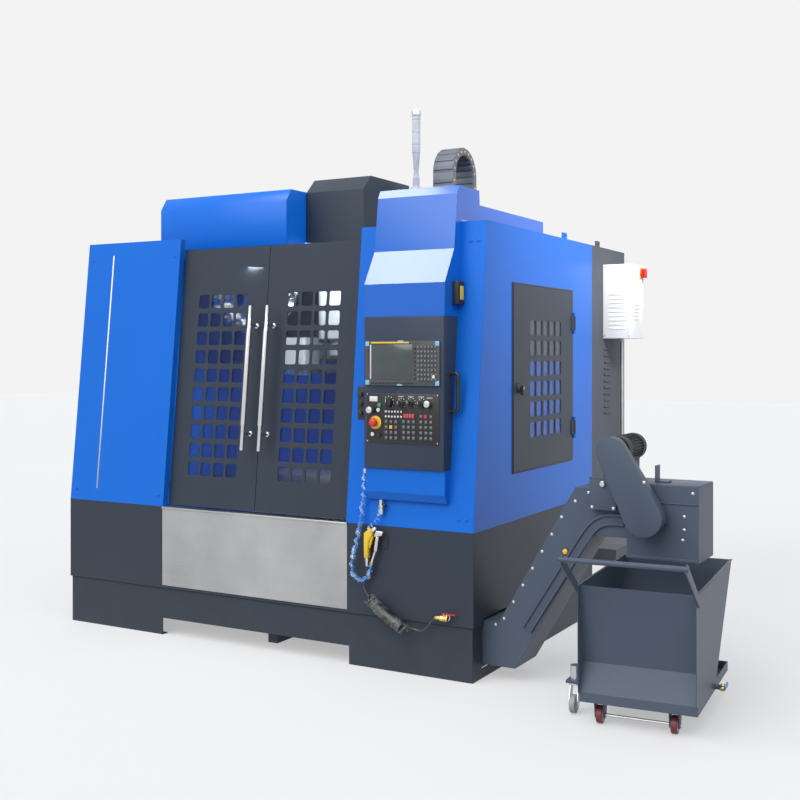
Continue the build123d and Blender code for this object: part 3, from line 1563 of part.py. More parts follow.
# Chip cart, standing slightly turned beside the discharge hood
cart_corner = (1935, -1424)
cart_turn = 4.2
cart = Plane(
    origin=(cart_corner[0], cart_corner[1], 0),
    x_dir=(cos(radians(cart_turn)), sin(radians(cart_turn)), 0),
    z_dir=(0, 0, 1),
)
cart_width = 488
tray_depth = 743
tray_z = (100, 140)
hopper_top_z = 590
hopper_back_y = (433, 854)
wheel_radius = 38
wheel_width = 26
wheel_x = (74, 385)
wheel_y = (66, 680)
axle_radius = 6
push_bar_y = -250
push_bar_z = 735
caster_at = (-66, 180)
caster_trail = 31
caster_wheel_radius = 40
caster_stem_radius = 10
drain_at = (400, 116)
with BuildPart() as cart_body:
    block((0, cart_width), (0, tray_depth), tray_z, cart)
    block(
        (sheet, cart_width - sheet),
        (sheet, tray_depth - sheet),
        (tray_z[0] + sheet, tray_z[1] + 1),
        cart,
        mode=Mode.SUBTRACT,
    )
    for side_x in (0, cart_width - sheet):
        side_profile(
            [
                (-20, tray_z[1]),
                (-28, hopper_top_z),
                (hopper_back_y[1], hopper_top_z),
                (hopper_back_y[0], tray_z[1]),
            ],
            (side_x, side_x + sheet),
            cart,
        )
    side_profile(
        [
            (0, hopper_top_z - 4),
            (60, 255),
            (0, tray_z[1]),
            (hopper_back_y[0], tray_z[1]),
            (hopper_back_y[1], hopper_top_z),
            (hopper_back_y[1] - 4, hopper_top_z),
            (hopper_back_y[0] - 2, tray_z[1] + sheet),
            (5, tray_z[1] + sheet),
            (64, 255),
            (4, hopper_top_z - 4),
        ],
        (1, cart_width - 1),
        cart,
    )
    for arm_x in ((-6, 0), (cart_width, cart_width + 6)):
        side_profile(
            [
                (push_bar_y - 14, push_bar_z - 14),
                (push_bar_y + 12, push_bar_z + 18),
                (4, hopper_top_z - 6),
                (4, hopper_top_z - 52),
            ],
            arm_x,
            cart,
        )
    round_bar("x", (push_bar_y, push_bar_z), 11.5, (-12, cart_width + 12), cart)
    for axle_y in wheel_y:
        for centre_x in wheel_x:
            for fork_x in (centre_x - wheel_width / 2 - 9, centre_x + wheel_width / 2 + 3):
                side_profile(
                    [
                        (axle_y - 14, wheel_radius - 12),
                        (axle_y - 26, tray_z[0] + 1),
                        (axle_y + 26, tray_z[0] + 1),
                        (axle_y + 14, wheel_radius - 12),
                    ],
                    (fork_x, fork_x + 6),
                    cart,
                )
        round_bar(
            "x",
            (axle_y, wheel_radius),
            axle_radius + running_clearance,
            (0, cart_width),
            cart,
            mode=Mode.SUBTRACT,
        )
    block((caster_at[0] - 34, 1), (caster_at[1] - 40, caster_at[1] + 40), (128, tray_z[1]), cart)
    round_bar(
        "z",
        caster_at,
        caster_stem_radius + running_clearance,
        (127, tray_z[1] + 1),
        cart,
        mode=Mode.SUBTRACT,
    )
    round_bar("x", drain_at, 11, (cart_width - 1, cart_width + 26), cart)
    round_bar("x", drain_at, 15, (cart_width + 26, cart_width + 40), cart)
    round_bar(
        "x",
        drain_at,
        axle_radius + running_clearance,
        (cart_width + 30, cart_width + 41),
        cart,
        mode=Mode.SUBTRACT,
    )
save(cart_body, "cart_body")


def cart_wheels(axle_y):
    for centre_x in wheel_x:
        with BuildSketch(placed(Plane.YZ.offset(centre_x - wheel_width / 2), cart)) as disc:
            with Locations((axle_y, wheel_radius)):
                Circle(wheel_radius)
        extrude(disc.sketch, amount=wheel_width)
    round_bar(
        "x",
        (axle_y, wheel_radius),
        axle_radius,
        (wheel_x[0] - wheel_width / 2 - 12, wheel_x[1] + wheel_width / 2 + 12),
        cart,
    )


with BuildPart() as cart_front_wheels:
    cart_wheels(wheel_y[0])
save(cart_front_wheels, "cart_front_wheels")
with BuildPart() as cart_rear_wheels:
    cart_wheels(wheel_y[1])
save(cart_rear_wheels, "cart_rear_wheels")
with BuildPart() as brake_fork:
    fork_top_z = 128 - touch_gap
    round_bar("z", caster_at, 32, (118, fork_top_z), cart)
    round_bar("z", caster_at, caster_stem_radius, (fork_top_z, tray_z[1] + touch_gap), cart)
    round_bar("z", caster_at, 24, (tray_z[1] + touch_gap, 200), cart)
    for side in (-1, 1):
        leg_x = sorted((caster_at[0] + side * 16, caster_at[0] + side * 20))
        side_profile(
            [
                (caster_at[1] - caster_trail - 12, caster_wheel_radius - 12),
                (caster_at[1] - caster_trail - 14, caster_wheel_radius + 14),
                (caster_at[1] - 24, 120),
                (caster_at[1] + 24, 120),
                (caster_at[1] - caster_trail + 14, caster_wheel_radius - 12),
            ],
            leg_x,
            cart,
        )
    round_bar(
        "x",
        (caster_at[1] - caster_trail, caster_wheel_radius),
        axle_radius + running_clearance,
        (caster_at[0] - 30, caster_at[0] + 30),
        cart,
        mode=Mode.SUBTRACT,
    )
save(brake_fork, "brake_fork")
with BuildPart() as brake_wheel:
    wheel_at = (caster_at[1] - caster_trail, caster_wheel_radius)
    round_bar("x", wheel_at, caster_wheel_radius, (caster_at[0] - 13, caster_at[0] + 13), cart)
    round_bar("x", wheel_at, axle_radius, (caster_at[0] - 24, caster_at[0] + 24), cart)
save(brake_wheel, "brake_wheel")
with BuildPart() as drain_lever:
    lever_x = cart_width + 40 + touch_gap
    block(
        (lever_x, lever_x + 5),
        (drain_at[0] - 9, drain_at[0] + 66),
        (drain_at[1] - 9, drain_at[1] + 9),
        cart,
    )
    round_bar("x", drain_at, axle_radius, (cart_width + 31, lever_x + 1), cart)
save(drain_lever, "drain_lever")


# Hoses: each tube runs straight between tangent arcs that are as large as the runs allow
def hose_radii(route):
    points = [Vector(*point) for point in route]
    radii = []
    for index in range(1, len(points) - 1):
        before = points[index] - points[index - 1]
        after = points[index + 1] - points[index]
        half_turn = radians(before.get_angle(after)) / 2
        radii.append(0.45 * min(before.length, after.length) / tan(half_turn))
    return radii


def hose_tube(route, radius):
    """A round tube along a route of points."""
    radii = hose_radii(route)
    print("hose radii", [round(value) for value in radii])
    with BuildLine() as path:
        FilletPolyline(*route, radius=radii)
    with BuildSketch(Plane(origin=path.line @ 0, z_dir=path.line % 0)) as section:
        Circle(radius)
    sweep(section.sketch, path=path.line)


blue_hose_radius = 5
blue_hose_route = [
    (706, -1124, 962),
    (708, -1130, 890),
    (703, -1140, 806),
    (696, -1152, 716),
    (686, -1160, 636),
    (664, -1162, 564),
    (650, -1162, 500),
    (665, -1161, 452),
    (703, -1160, 432),
    (738, -1156, 448),
    (755, -1152, 482),
    (757, -1150, 514),
]
with BuildPart() as spring_hose:
    hose_tube(blue_hose_route, blue_hose_radius)
save(spring_hose, "spring_hose")

lead_radius = 5
coil_radius = 32
lead_route = [
    (733, -1150, 510),
    (734, -1146, 476),
    (722, -1142, 440),
    (707, -1144, 404),
    (720, -1152, 374),
    (748, -1160, 354),
]
coil_route = [
    (748, -1160, 354),
    (812, -1161, 306),
    (888, -1161, 256),
    (960, -1161, 222),
]
tail_route = [
    (960, -1161, 222),
    (1000, -1160, 214),
    (1040, -1156, 224),
    (1076, -1152, 252),
    (1094, -1150, 284),
    (1112, -1150, 300),
]
with BuildPart() as curly_hose:
    hose_tube(lead_route, lead_radius)
    hose_tube(coil_route, coil_radius)
    hose_tube(tail_route, lead_radius)
save(curly_hose, "curly_hose")
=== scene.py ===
# Blender 4.5 scene for a CNC machining center with chip conveyor and chip cart
import json
import math

import bpy
from mathutils import Matrix, Vector


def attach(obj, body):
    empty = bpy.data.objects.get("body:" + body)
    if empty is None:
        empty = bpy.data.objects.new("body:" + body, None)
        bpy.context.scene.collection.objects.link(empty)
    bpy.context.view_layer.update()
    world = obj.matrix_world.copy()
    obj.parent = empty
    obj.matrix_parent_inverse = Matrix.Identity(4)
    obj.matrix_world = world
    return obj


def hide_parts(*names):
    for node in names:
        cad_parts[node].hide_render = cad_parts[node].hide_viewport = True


view = {
    "place": (3.587, -5.889, 1.56),
    "turn": 29.36,
    "lens": 50.56,
    "shiftY": -0.0594,
    "backColor": (0.895, 0.895, 0.897),
    "skyColor": (0.9, 0.93, 1.0),
    "skyStrength": 0.52,
    "floorSize": 60,
    "floorHeight": -0.001,
    "floorColors": ((0.41, 0.41, 0.415), (0.40, 0.40, 0.405)),
    "floorPatches": 0.7,
    "floorRoughness": 0.9,
    "floorGlow": 0.43,
}
suns = {
    "frontSun": {"from": (-0.25, -1.0, 0.85), "strength": 1.8, "spread": 50},
    "rightSun": {"from": (1.0, -0.7, 0.9), "strength": 0.3, "spread": 60},
    "topSun": {"from": (0.0, -0.15, 1.0), "strength": 0.45, "spread": 70},
}
lamps = {
    "cabin": {"place": (0.1, -0.55, 2.12), "aim": (0.0, -0.2, 0.9), "size": 0.7, "power": 26, "spread": 180},
    "ceiling": {"place": (-0.97, -2.5, 5.2), "aim": (0.95, -1.1, 1.98), "size": 0.95, "power": 36, "spread": 180},
    "side": {"place": (3.9, -1.6, 4.4), "aim": (1.35, 0.3, 2.3), "size": 0.9, "power": 20, "spread": 50},
}
surfaces = {
    "paint": {"cloudScale": 1.6, "cloudRough": 0.1, "speckScale": 38.0, "speck": 0.05, "depth": 0.0006, "bend": 0.003},
    "dust": {"scale": 9.0, "top": 0.5, "color": (0.42, 0.41, 0.39, 1), "rough": 0.35},
    "metal": {"patchScale": 3.0, "patchRough": 0.25, "streakRough": 0.4, "depth": 0.0004},
    "plastic": {"smearScale": 22.0, "smearRough": 0.2, "depth": 0.0004},
    "coatRoughness": 0.12,
}
toFront, toBack, toRight, toTop = (0, -1, 0), (0, 1, 0), (1, 0, 0), (0, 0, 1)


def addNode(tree, kind, settings=None, values=None):
    node = tree.nodes.new(kind)
    for key, value in (settings or {}).items():
        setattr(node, key, value)
    for key, value in (values or {}).items():
        node.inputs[key].default_value = value
    return node


def feed(tree, socket, value):
    # an input takes a plain value or the output of another node
    if isinstance(value, (int, float, tuple)):
        socket.default_value = value
    else:
        tree.links.new(value, socket)


def noiseOn(tree, source, scale, detail=3.0, rough=0.55):
    noise = addNode(tree, "ShaderNodeTexNoise", None, {"Detail": detail, "Roughness": rough})
    feed(tree, noise.inputs["Vector"], source)
    feed(tree, noise.inputs["Scale"], scale)
    return noise.outputs["Fac"]


def mathOn(tree, operation, first, second, clamp=False):
    node = addNode(tree, "ShaderNodeMath", {"operation": operation, "use_clamp": clamp})
    feed(tree, node.inputs[0], first)
    feed(tree, node.inputs[1], second)
    return node.outputs[0]


def swayOn(tree, source, amount):
    # a noise swings to both sides of zero
    return mathOn(tree, "MULTIPLY", mathOn(tree, "SUBTRACT", source, 0.5), amount)


def rangeOn(tree, source, low, high, newLow, newHigh):
    limits = {"From Min": low, "From Max": high, "To Min": newLow, "To Max": newHigh}
    node = addNode(tree, "ShaderNodeMapRange", {"clamp": True}, limits)
    tree.links.new(source, node.inputs["Value"])
    return node.outputs["Result"]


def mixOn(tree, factor, first, second):
    node = addNode(tree, "ShaderNodeMix", {"data_type": "RGBA"})
    for slot, value in ((0, factor), (6, first), (7, second)):  # the sockets that colours use
        feed(tree, node.inputs[slot], value)
    return node.outputs[2]


def tintOn(tree, color, value):
    tint = addNode(tree, "ShaderNodeHueSaturation")
    feed(tree, tint.inputs["Color"], color)
    feed(tree, tint.inputs["Value"], value)
    return tint.outputs["Color"]


def newGroup(name, inputs):
    # every shared effect works on Object coordinates and gives a colour, a roughness and a height
    group = bpy.data.node_groups.new(name, "ShaderNodeTree")
    kinds = {1: "NodeSocketFloat", 3: "NodeSocketVector", 4: "NodeSocketColor"}
    for key, value in inputs.items():
        kind = kinds[len(value) if isinstance(value, tuple) else 1]
        group.interface.new_socket(name=key, in_out="INPUT", socket_type=kind).default_value = value
    for key, size in (("Color", 4), ("Roughness", 1), ("Height", 1)):
        group.interface.new_socket(name=key, in_out="OUTPUT", socket_type=kinds[size])
    start, end = group.nodes.new("NodeGroupInput"), group.nodes.new("NodeGroupOutput")
    place = addNode(group, "ShaderNodeTexCoord").outputs["Object"]
    return group, start.outputs, end.inputs, place


def endGroup(group, end, color, roughness, height):
    for key, source in (("Color", color), ("Roughness", roughness), ("Height", height)):
        group.links.new(source, end[key])
    return group


def sprayedPaintGroup():
    # satin powder coat: cloudy shade, fine orange peel and dust near the floor
    inputs = {"Color": (0.5, 0.5, 0.5, 1), "Cloud": 0.12, "Peel Scale": 420.0, "Roughness": 0.4, "Dust": 0.3}
    group, start, end, place = newGroup("sprayedPaint", inputs)
    s, d = surfaces["paint"], surfaces["dust"]
    cloud = noiseOn(group, place, s["cloudScale"], 2.0)
    shade = swayOn(group, cloud, start["Cloud"])
    fine = swayOn(group, noiseOn(group, place, s["speckScale"], 4.0), s["speck"])
    value = mathOn(group, "ADD", mathOn(group, "ADD", shade, fine), 1.0)
    axes = addNode(group, "ShaderNodeSeparateXYZ")
    group.links.new(place, axes.inputs[0])
    low = rangeOn(group, axes.outputs["Z"], 0.0, d["top"], 1.0, 0.0)
    dust = mathOn(group, "MULTIPLY", low, noiseOn(group, place, d["scale"], 5.0))
    dust = mathOn(group, "MULTIPLY", dust, start["Dust"])
    color = mixOn(group, dust, tintOn(group, start["Color"], value), d["color"])
    rough = mathOn(group, "ADD", start["Roughness"], swayOn(group, cloud, s["cloudRough"]))
    rough = mathOn(group, "ADD", rough, mathOn(group, "MULTIPLY", dust, d["rough"]), True)
    return endGroup(group, end, color, rough, noiseOn(group, place, start["Peel Scale"], 1.5, 0.5))


def brushedGrainGroup():
    # long fine scratches along one axis, with slow patches of dull and bright: random tone at low strength, painted
    # reflection bands at high strength
    inputs = {"Color": (0.6, 0.6, 0.6, 1), "Stretch": (4.0, 300.0, 300.0)}
    inputs.update({"Streak": 0.25, "Tone And Sheen": 0.12, "Roughness": 0.3})
    group, start, end, place = newGroup("brushedGrain", inputs)
    s = surfaces["metal"]
    stretched = addNode(group, "ShaderNodeVectorMath", {"operation": "MULTIPLY"})
    group.links.new(place, stretched.inputs[0])
    group.links.new(start["Stretch"], stretched.inputs[1])
    streak = noiseOn(group, stretched.outputs[0], 1.0, 4.0, 0.6)
    toneAndSheen = noiseOn(group, place, s["patchScale"])
    level = swayOn(group, streak, start["Streak"])
    # the slow patches brighten and darken the colour: random tone, and painted reflection where their strength is high
    value = mathOn(group, "ADD", mathOn(group, "ADD", level, 1.0), swayOn(group, toneAndSheen, start["Tone And Sheen"]))
    rough = mathOn(group, "ADD", start["Roughness"], swayOn(group, toneAndSheen, s["patchRough"]))
    rough = mathOn(group, "ADD", rough, mathOn(group, "MULTIPLY", level, s["streakRough"]), True)
    return endGroup(group, end, tintOn(group, start["Color"], value), rough, streak)


def mouldedGrainGroup():
    # fine spark-eroded grain of moulded plastic and rubber
    inputs = {"Color": (0.2, 0.2, 0.2, 1), "Grain Scale": 900.0, "Roughness": 0.5, "Fade": 0.15}
    group, start, end, place = newGroup("mouldedGrain", inputs)
    s = surfaces["plastic"]
    grain = addNode(group, "ShaderNodeTexVoronoi", {"feature": "F1"})
    group.links.new(place, grain.inputs["Vector"])
    group.links.new(start["Grain Scale"], grain.inputs["Scale"])
    smear = noiseOn(group, place, s["smearScale"], 4.0)
    value = mathOn(group, "ADD", swayOn(group, smear, start["Fade"]), 1.0)
    rough = mathOn(group, "ADD", start["Roughness"], swayOn(group, smear, s["smearRough"]), True)
    return endGroup(group, end, tintOn(group, start["Color"], value), rough, grain.outputs["Distance"])


def newMaterial(name):
    material = bpy.data.materials.new(name)
    material.use_nodes = True
    return material, material.node_tree, material.node_tree.nodes["Principled BSDF"]


effects = {}


def makeMaterial(name, effect, values, strength, depth, metal=0.0, coat=0.0, edge=0.0, shine=0.5):
    # an effect group feeds colour, roughness and a bump into one principled shader
    material, tree, shader = newMaterial(name)
    settings = {"Metallic": metal, "Coat Weight": coat, "Coat Roughness": surfaces["coatRoughness"]}
    settings["Specular IOR Level"] = shine
    for key, value in settings.items():
        shader.inputs[key].default_value = value
    surface = addNode(tree, "ShaderNodeGroup", {"node_tree": effects[effect]}, values)
    relief = addNode(tree, "ShaderNodeBump", None, {"Strength": strength, "Distance": depth})
    tree.links.new(surface.outputs["Color"], shader.inputs["Base Color"])
    tree.links.new(surface.outputs["Roughness"], shader.inputs["Roughness"])
    tree.links.new(surface.outputs["Height"], relief.inputs["Height"])
    if edge:  # folded sheet catches the light along its bends
        bend = addNode(tree, "ShaderNodeBevel", {"samples": 4}, {"Radius": edge})
        tree.links.new(bend.outputs["Normal"], relief.inputs["Normal"])
    tree.links.new(relief.outputs["Normal"], shader.inputs["Normal"])
    material.diffuse_color = values["Color"]
    return material


def paint(name, color, roughness=0.42, cloud=0.12, dust=0.25, peel=420.0, coat=0.0, strength=0.08, shine=0.22):
    values = {"Color": color + (1,), "Cloud": cloud, "Peel Scale": peel, "Roughness": roughness, "Dust": dust}
    s = surfaces["paint"]
    return makeMaterial(name, "sprayedPaint", values, strength, s["depth"], coat=coat, edge=s["bend"], shine=shine)


def steel(name, color, stretch, streak=0.25, roughness=0.3, strength=0.12, toneAndSheen=0.12):
    values = {"Color": color + (1,), "Stretch": stretch, "Streak": streak, "Roughness": roughness, "Tone And Sheen": toneAndSheen}
    return makeMaterial(name, "brushedGrain", values, strength, surfaces["metal"]["depth"], metal=1.0)


def plastic(name, color, roughness=0.5, grain=900.0, fade=0.15, coat=0.0, strength=0.06):
    values = {"Color": color + (1,), "Grain Scale": grain, "Roughness": roughness, "Fade": fade}
    return makeMaterial(name, "mouldedGrain", values, strength, surfaces["plastic"]["depth"], coat=coat)


def makeFinishes():
    # paint: colour, roughness, cloud, dust; steel: colour, stretch, streak, roughness
    effects["sprayedPaint"] = sprayedPaintGroup()
    effects["brushedGrain"] = brushedGrainGroup()
    effects["mouldedGrain"] = mouldedGrainGroup()
    return {
        "blue_paint": paint("bluePaint", (0.005, 0.140, 0.62), 0.32, 0.10, 0.0),
        "slate_paint": paint("slatePaint", (0.032, 0.043, 0.061), 0.42, 0.18, 0.05),
        "grey_paint": paint("greyPaint", (0.075, 0.085, 0.105), 0.5, 0.12, 0.2),
        "white_paint": paint("whitePaint", (0.90, 0.90, 0.90), 0.45, 0.04, 0.0),
        "cast_paint": paint("castPaint", (0.33, 0.35, 0.36), 0.6, 0.25, 0.2, peel=90.0, strength=0.5),
        "machined_iron": steel("machinedIron", (0.42, 0.42, 0.42), (3, 240, 240), 0.3, 0.4),
        "ground_steel": steel("groundSteel", (0.62, 0.63, 0.64), (200, 200, 8), 0.2, 0.28),
        # strong slow patches paint soft bright and dark reflection bands into the stainless colour
        "stainless": steel("brushedStainless", (0.47, 0.475, 0.47), (0.9, 60, 60), 0.10, 0.32, 0.05, toneAndSheen=0.6),
        "silver_handle": steel("silverHandle", (0.62, 0.62, 0.63), (160, 160, 6), 0.12, 0.24),
        "console_paint": paint("consolePaint", (0.038, 0.052, 0.082), 0.42, 0.12, 0.0),
        "panel_plastic": plastic("panelPlastic", (0.062, 0.066, 0.074), 0.5),
        "black_plastic": plastic("blackPlastic", (0.018, 0.018, 0.02), 0.45),
        "red_plastic": plastic("redPlastic", (0.62, 0.02, 0.015), 0.3, fade=0.1, coat=0.3),
        "lever_blue": plastic("leverBlue", (0.02, 0.12, 0.6), 0.35, fade=0.1, coat=0.2),
        "motor_paint": paint("motorPaint", (0.035, 0.038, 0.045), 0.5, 0.2, 0.1),
        "zinc_steel": steel("zincSteel", (0.55, 0.56, 0.57), (30, 30, 30), 0.4, 0.35),
        "hose_blue": plastic("hoseBlue", (0.02, 0.22, 0.8), 0.25, grain=700, fade=0.1, coat=0.4),
        "hose_black": plastic("hoseBlack", (0.022, 0.022, 0.024), 0.28, grain=700, fade=0.2, coat=0.8),
        "maroon_wheel": plastic("maroonWheel", (0.16, 0.025, 0.03), 0.45),
        "lamp_shell": plastic("lampShell", (0.66, 0.68, 0.70), 0.25, grain=600, fade=0.1, coat=0.4),
        "gun_yellow": plastic("gunYellow", (0.80, 0.52, 0.02), 0.35, grain=600, fade=0.1, coat=0.3),
        "gear_beige": plastic("gearBeige", (0.55, 0.54, 0.48), 0.55),
        "window_glass": windowGlass(),
        "chip_paint": paint("chipPaint", (0.078, 0.102, 0.145), 0.42, 0.22, 0.05),
        "cast_brass": steel("castBrass", (0.62, 0.42, 0.14), (60, 60, 60), 0.2, 0.3),
    }


windowTint = {
    "index": 1.25,
    "smearScale": 6.0,
    "colors": ((0.62, 0.68, 0.72, 1), (0.78, 0.82, 0.85, 1)),
    "roughness": (0.02, 0.09),
}


def windowGlass():
    material, tree, shader = newMaterial("windowGlass")
    shader.inputs["Transmission Weight"].default_value = 1.0
    shader.inputs["IOR"].default_value = windowTint["index"]
    place = addNode(tree, "ShaderNodeTexCoord").outputs["Object"]
    smear = noiseOn(tree, place, windowTint["smearScale"], 4.0)
    tree.links.new(mixOn(tree, smear, *windowTint["colors"]), shader.inputs["Base Color"])
    tree.links.new(rangeOn(tree, smear, 0.3, 0.75, *windowTint["roughness"]), shader.inputs["Roughness"])
    return material


def seenRays(tree):
    # the pale background is for the camera, glass and gloss, and puts no light on the object
    rays = addNode(tree, "ShaderNodeLightPath")
    seen = mathOn(tree, "MAXIMUM", rays.outputs["Is Camera Ray"], rays.outputs["Is Transmission Ray"])
    return mathOn(tree, "MAXIMUM", seen, rays.outputs["Is Glossy Ray"])


def addLight(name, kind, place, look, values):
    data = bpy.data.lights.new(name, kind)
    for key, value in values.items():
        setattr(data, key, value)
    light = bpy.data.objects.new(name, data)
    light.location = place
    light.rotation_euler = look.to_track_quat("-Z", "Y").to_euler()
    bpy.context.scene.collection.objects.link(light)


def makeFloor():
    bpy.ops.object.select_all(action="DESELECT")
    bpy.ops.mesh.primitive_plane_add(size=view["floorSize"], location=(0, 0, view["floorHeight"]))
    floor = bpy.context.object
    floor.name = "studioFloor"
    material, tree, shader = newMaterial("paleFloor")
    shader.inputs["Roughness"].default_value = view["floorRoughness"]
    shader.inputs["Emission Color"].default_value = (1.0, 1.0, 1.0, 1)
    place = addNode(tree, "ShaderNodeTexCoord").outputs["Object"]
    first, second = [color + (1,) for color in view["floorColors"]]
    patches = noiseOn(tree, place, view["floorPatches"])
    tree.links.new(mixOn(tree, patches, first, second), shader.inputs["Base Color"])
    glow = mathOn(tree, "MULTIPLY", seenRays(tree), view["floorGlow"])
    tree.links.new(glow, shader.inputs["Emission Strength"])
    floor.data.materials.append(material)


def makeStage():
    makeFloor()
    world = bpy.data.worlds.new("studioWorld")
    bpy.context.scene.world = world
    world.use_nodes = True
    tree = world.node_tree
    tree.nodes.clear()
    skies = []
    for color, strength in ((view["skyColor"], view["skyStrength"]), (view["backColor"], 1.0)):
        skies.append(addNode(tree, "ShaderNodeBackground", None, {"Color": color + (1,), "Strength": strength}))
    mix = addNode(tree, "ShaderNodeMixShader")
    for slot, source in enumerate((seenRays(tree), skies[0].outputs[0], skies[1].outputs[0])):
        tree.links.new(source, mix.inputs[slot])
    tree.links.new(mix.outputs[0], addNode(tree, "ShaderNodeOutputWorld").inputs["Surface"])
    for name, sun in suns.items():
        values = {"energy": sun["strength"], "angle": math.radians(sun["spread"])}
        addLight(name, "SUN", (0, 0, 0), -Vector(sun["from"]), values)
    for name, lamp in lamps.items():
        values = {"size": lamp["size"], "energy": lamp["power"], "spread": math.radians(lamp["spread"])}
        addLight(name + "Lamp", "AREA", lamp["place"], Vector(lamp["aim"]) - Vector(lamp["place"]), values)
    data = bpy.data.cameras.new("photoCamera")
    data.lens = view["lens"]
    data.sensor_width = 36
    data.shift_y = view["shiftY"]
    camera = bpy.data.objects.new("photoCamera", data)
    camera.location = view["place"]
    camera.rotation_euler = (math.radians(90), 0, math.radians(view["turn"]))
    bpy.context.scene.collection.objects.link(camera)
    bpy.context.scene.camera = camera
    bpy.context.scene.view_settings.view_transform = "Standard"


def dressNodes():
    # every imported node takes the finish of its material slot, and some a shade of their own
    chain = plastic("chainPlastic", (0.105, 0.118, 0.145), 0.5)
    cowl = paint("cowlPaint", (0.004, 0.118, 0.55), 0.3, 0.1, 0.0, coat=0.9, strength=0.05, shine=0.1)
    guard = paint("guardPaint", (0.008, 0.11, 0.50), 0.4, 0.1, 0.0)
    shades = {"cable_chain": chain, "chain_leg": chain, "work_guards": guard, "console_cowl": cowl}
    for nodeName in ("conveyor_casing", "belt_guard", "cart_body"):
        shades[nodeName] = finishes["chip_paint"]
    for part in frame["record"]["subparts"]:
        node = frame["nodes"][part["node"]]
        node.data.materials.clear()
        node.data.materials.append(shades.get(part["node"], finishes[part["material_slot"]]))


# modelling helpers, all in metres
def clearSelection():
    if bpy.context.object and bpy.context.object.mode != "OBJECT":
        bpy.ops.object.mode_set(mode="OBJECT")
    bpy.ops.object.select_all(action="DESELECT")


def pick(piece):
    clearSelection()
    piece.select_set(True)
    bpy.context.view_layer.objects.active = piece


def settle(piece, body, slotName, material=None):
    # place goes into the mesh, then the piece gets its finish and its body
    pick(piece)
    bpy.ops.object.transform_apply(location=True, rotation=True, scale=True)
    piece.data.materials.clear()
    piece.data.materials.append(material or finishes[slotName])
    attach(piece, body)
    return piece


def joinPieces(pieces, name):
    clearSelection()
    for piece in pieces:
        piece.select_set(True)
    bpy.context.view_layer.objects.active = pieces[0]
    if len(pieces) > 1:
        bpy.ops.object.join()
    pieces[0].name = name
    return pieces[0]


def copyTo(piece, moves, name):
    # the modelled piece is copied to each place, each copy with its own mesh
    copies = [piece]
    for move in moves[1:]:
        copy = piece.copy()
        copy.data = piece.data.copy()
        bpy.context.scene.collection.objects.link(copy)
        copy.location = piece.location + Vector(move)
        copies.append(copy)
    piece.location = piece.location + Vector(moves[0])
    return joinPieces(copies, name)


def editAll():
    bpy.ops.object.mode_set(mode="EDIT")
    bpy.ops.mesh.select_all(action="SELECT")


def smoothPiece():
    bpy.ops.object.shade_smooth_by_angle(angle=math.radians(35))


def roundedBlock(name, low, high, edge=0.002, steps=2):
    clearSelection()
    middle = [(a + b) / 2 for a, b in zip(low, high)]
    bpy.ops.mesh.primitive_cube_add(size=1, location=middle)
    piece = bpy.context.object
    piece.name = name
    piece.scale = [b - a for a, b in zip(low, high)]
    bpy.ops.object.transform_apply(location=False, rotation=False, scale=True)
    editAll()
    bpy.ops.mesh.bevel(offset=edge, segments=steps, affect="EDGES")
    bpy.ops.object.mode_set(mode="OBJECT")
    smoothPiece()
    return piece


def around(place, low, high):
    # a block's corners, from their offsets to a place
    return [tuple(a + b for a, b in zip(place, corner)) for corner in (low, high)]


def joinBlocks(name, rows):
    # each row is (low corner, high corner, edge)
    return joinPieces([roundedBlock(name, *row) for row in rows], name)


def turnedPart(name, rings, place, along=toTop, sides=32):
    # a disc is drawn out ring by ring, as on a lathe; rings are (distance along, radius)
    clearSelection()
    bpy.ops.mesh.primitive_circle_add(vertices=sides, radius=rings[0][1], fill_type="NGON", location=(0, 0, 0))
    piece = bpy.context.object
    piece.name = name
    editAll()
    for (last, lastRadius), (here, radius) in zip(rings, rings[1:]):
        bpy.ops.mesh.extrude_region_move(TRANSFORM_OT_translate={"value": (0, 0, here - last)})
        ratio = radius / lastRadius
        if abs(ratio - 1) > 1e-6:
            bpy.ops.transform.resize(value=(ratio, ratio, 1))
    bpy.ops.mesh.select_all(action="SELECT")
    bpy.ops.mesh.normals_make_consistent(inside=False)
    bpy.ops.object.mode_set(mode="OBJECT")
    piece.rotation_mode = "QUATERNION"
    piece.rotation_quaternion = Vector(toTop).rotation_difference(Vector(along))
    piece.location = Vector(place) + Vector(along).normalized() * rings[0][0]
    bpy.ops.object.transform_apply(location=False, rotation=True, scale=False)
    smoothPiece()
    return piece


def joinTurned(name, rows, extra=()):
    # each row is (rings, place, along, sides)
    return joinPieces([turnedPart(name, *row) for row in rows] + list(extra), name)


def turnedCopies(name, rings, places, along, sides=24):
    first = turnedPart(name, rings, places[0], along, sides)
    return copyTo(first, [tuple(b - a for a, b in zip(places[0], place)) for place in places], name)


def plates(name, places, size, front, rise, edge):
    # low plates on a face that looks towards -Y: places are (x, z), size is (width, height)
    halfW, halfH = size[0] / 2, size[1] / 2
    x, z = places[0]
    piece = roundedBlock(name, (x - halfW, front - rise, z - halfH), (x + halfW, front, z + halfH), edge)
    return copyTo(piece, [(otherX - x, 0, otherZ - z) for otherX, otherZ in places], name)


def onFace(places, y):
    return [(x, y, z) for x, z in places]


def shifted(places, dx, dz):
    return [(x + dx, z + dz) for x, z in places]


def gridPlaces(centre, pitch, columns, rows):
    places = []
    for row in range(rows):
        for column in range(columns):
            x = centre[0] + (column - (columns - 1) / 2) * pitch[0]
            places.append((x, centre[1] + (row - (rows - 1) / 2) * pitch[1]))
    return places


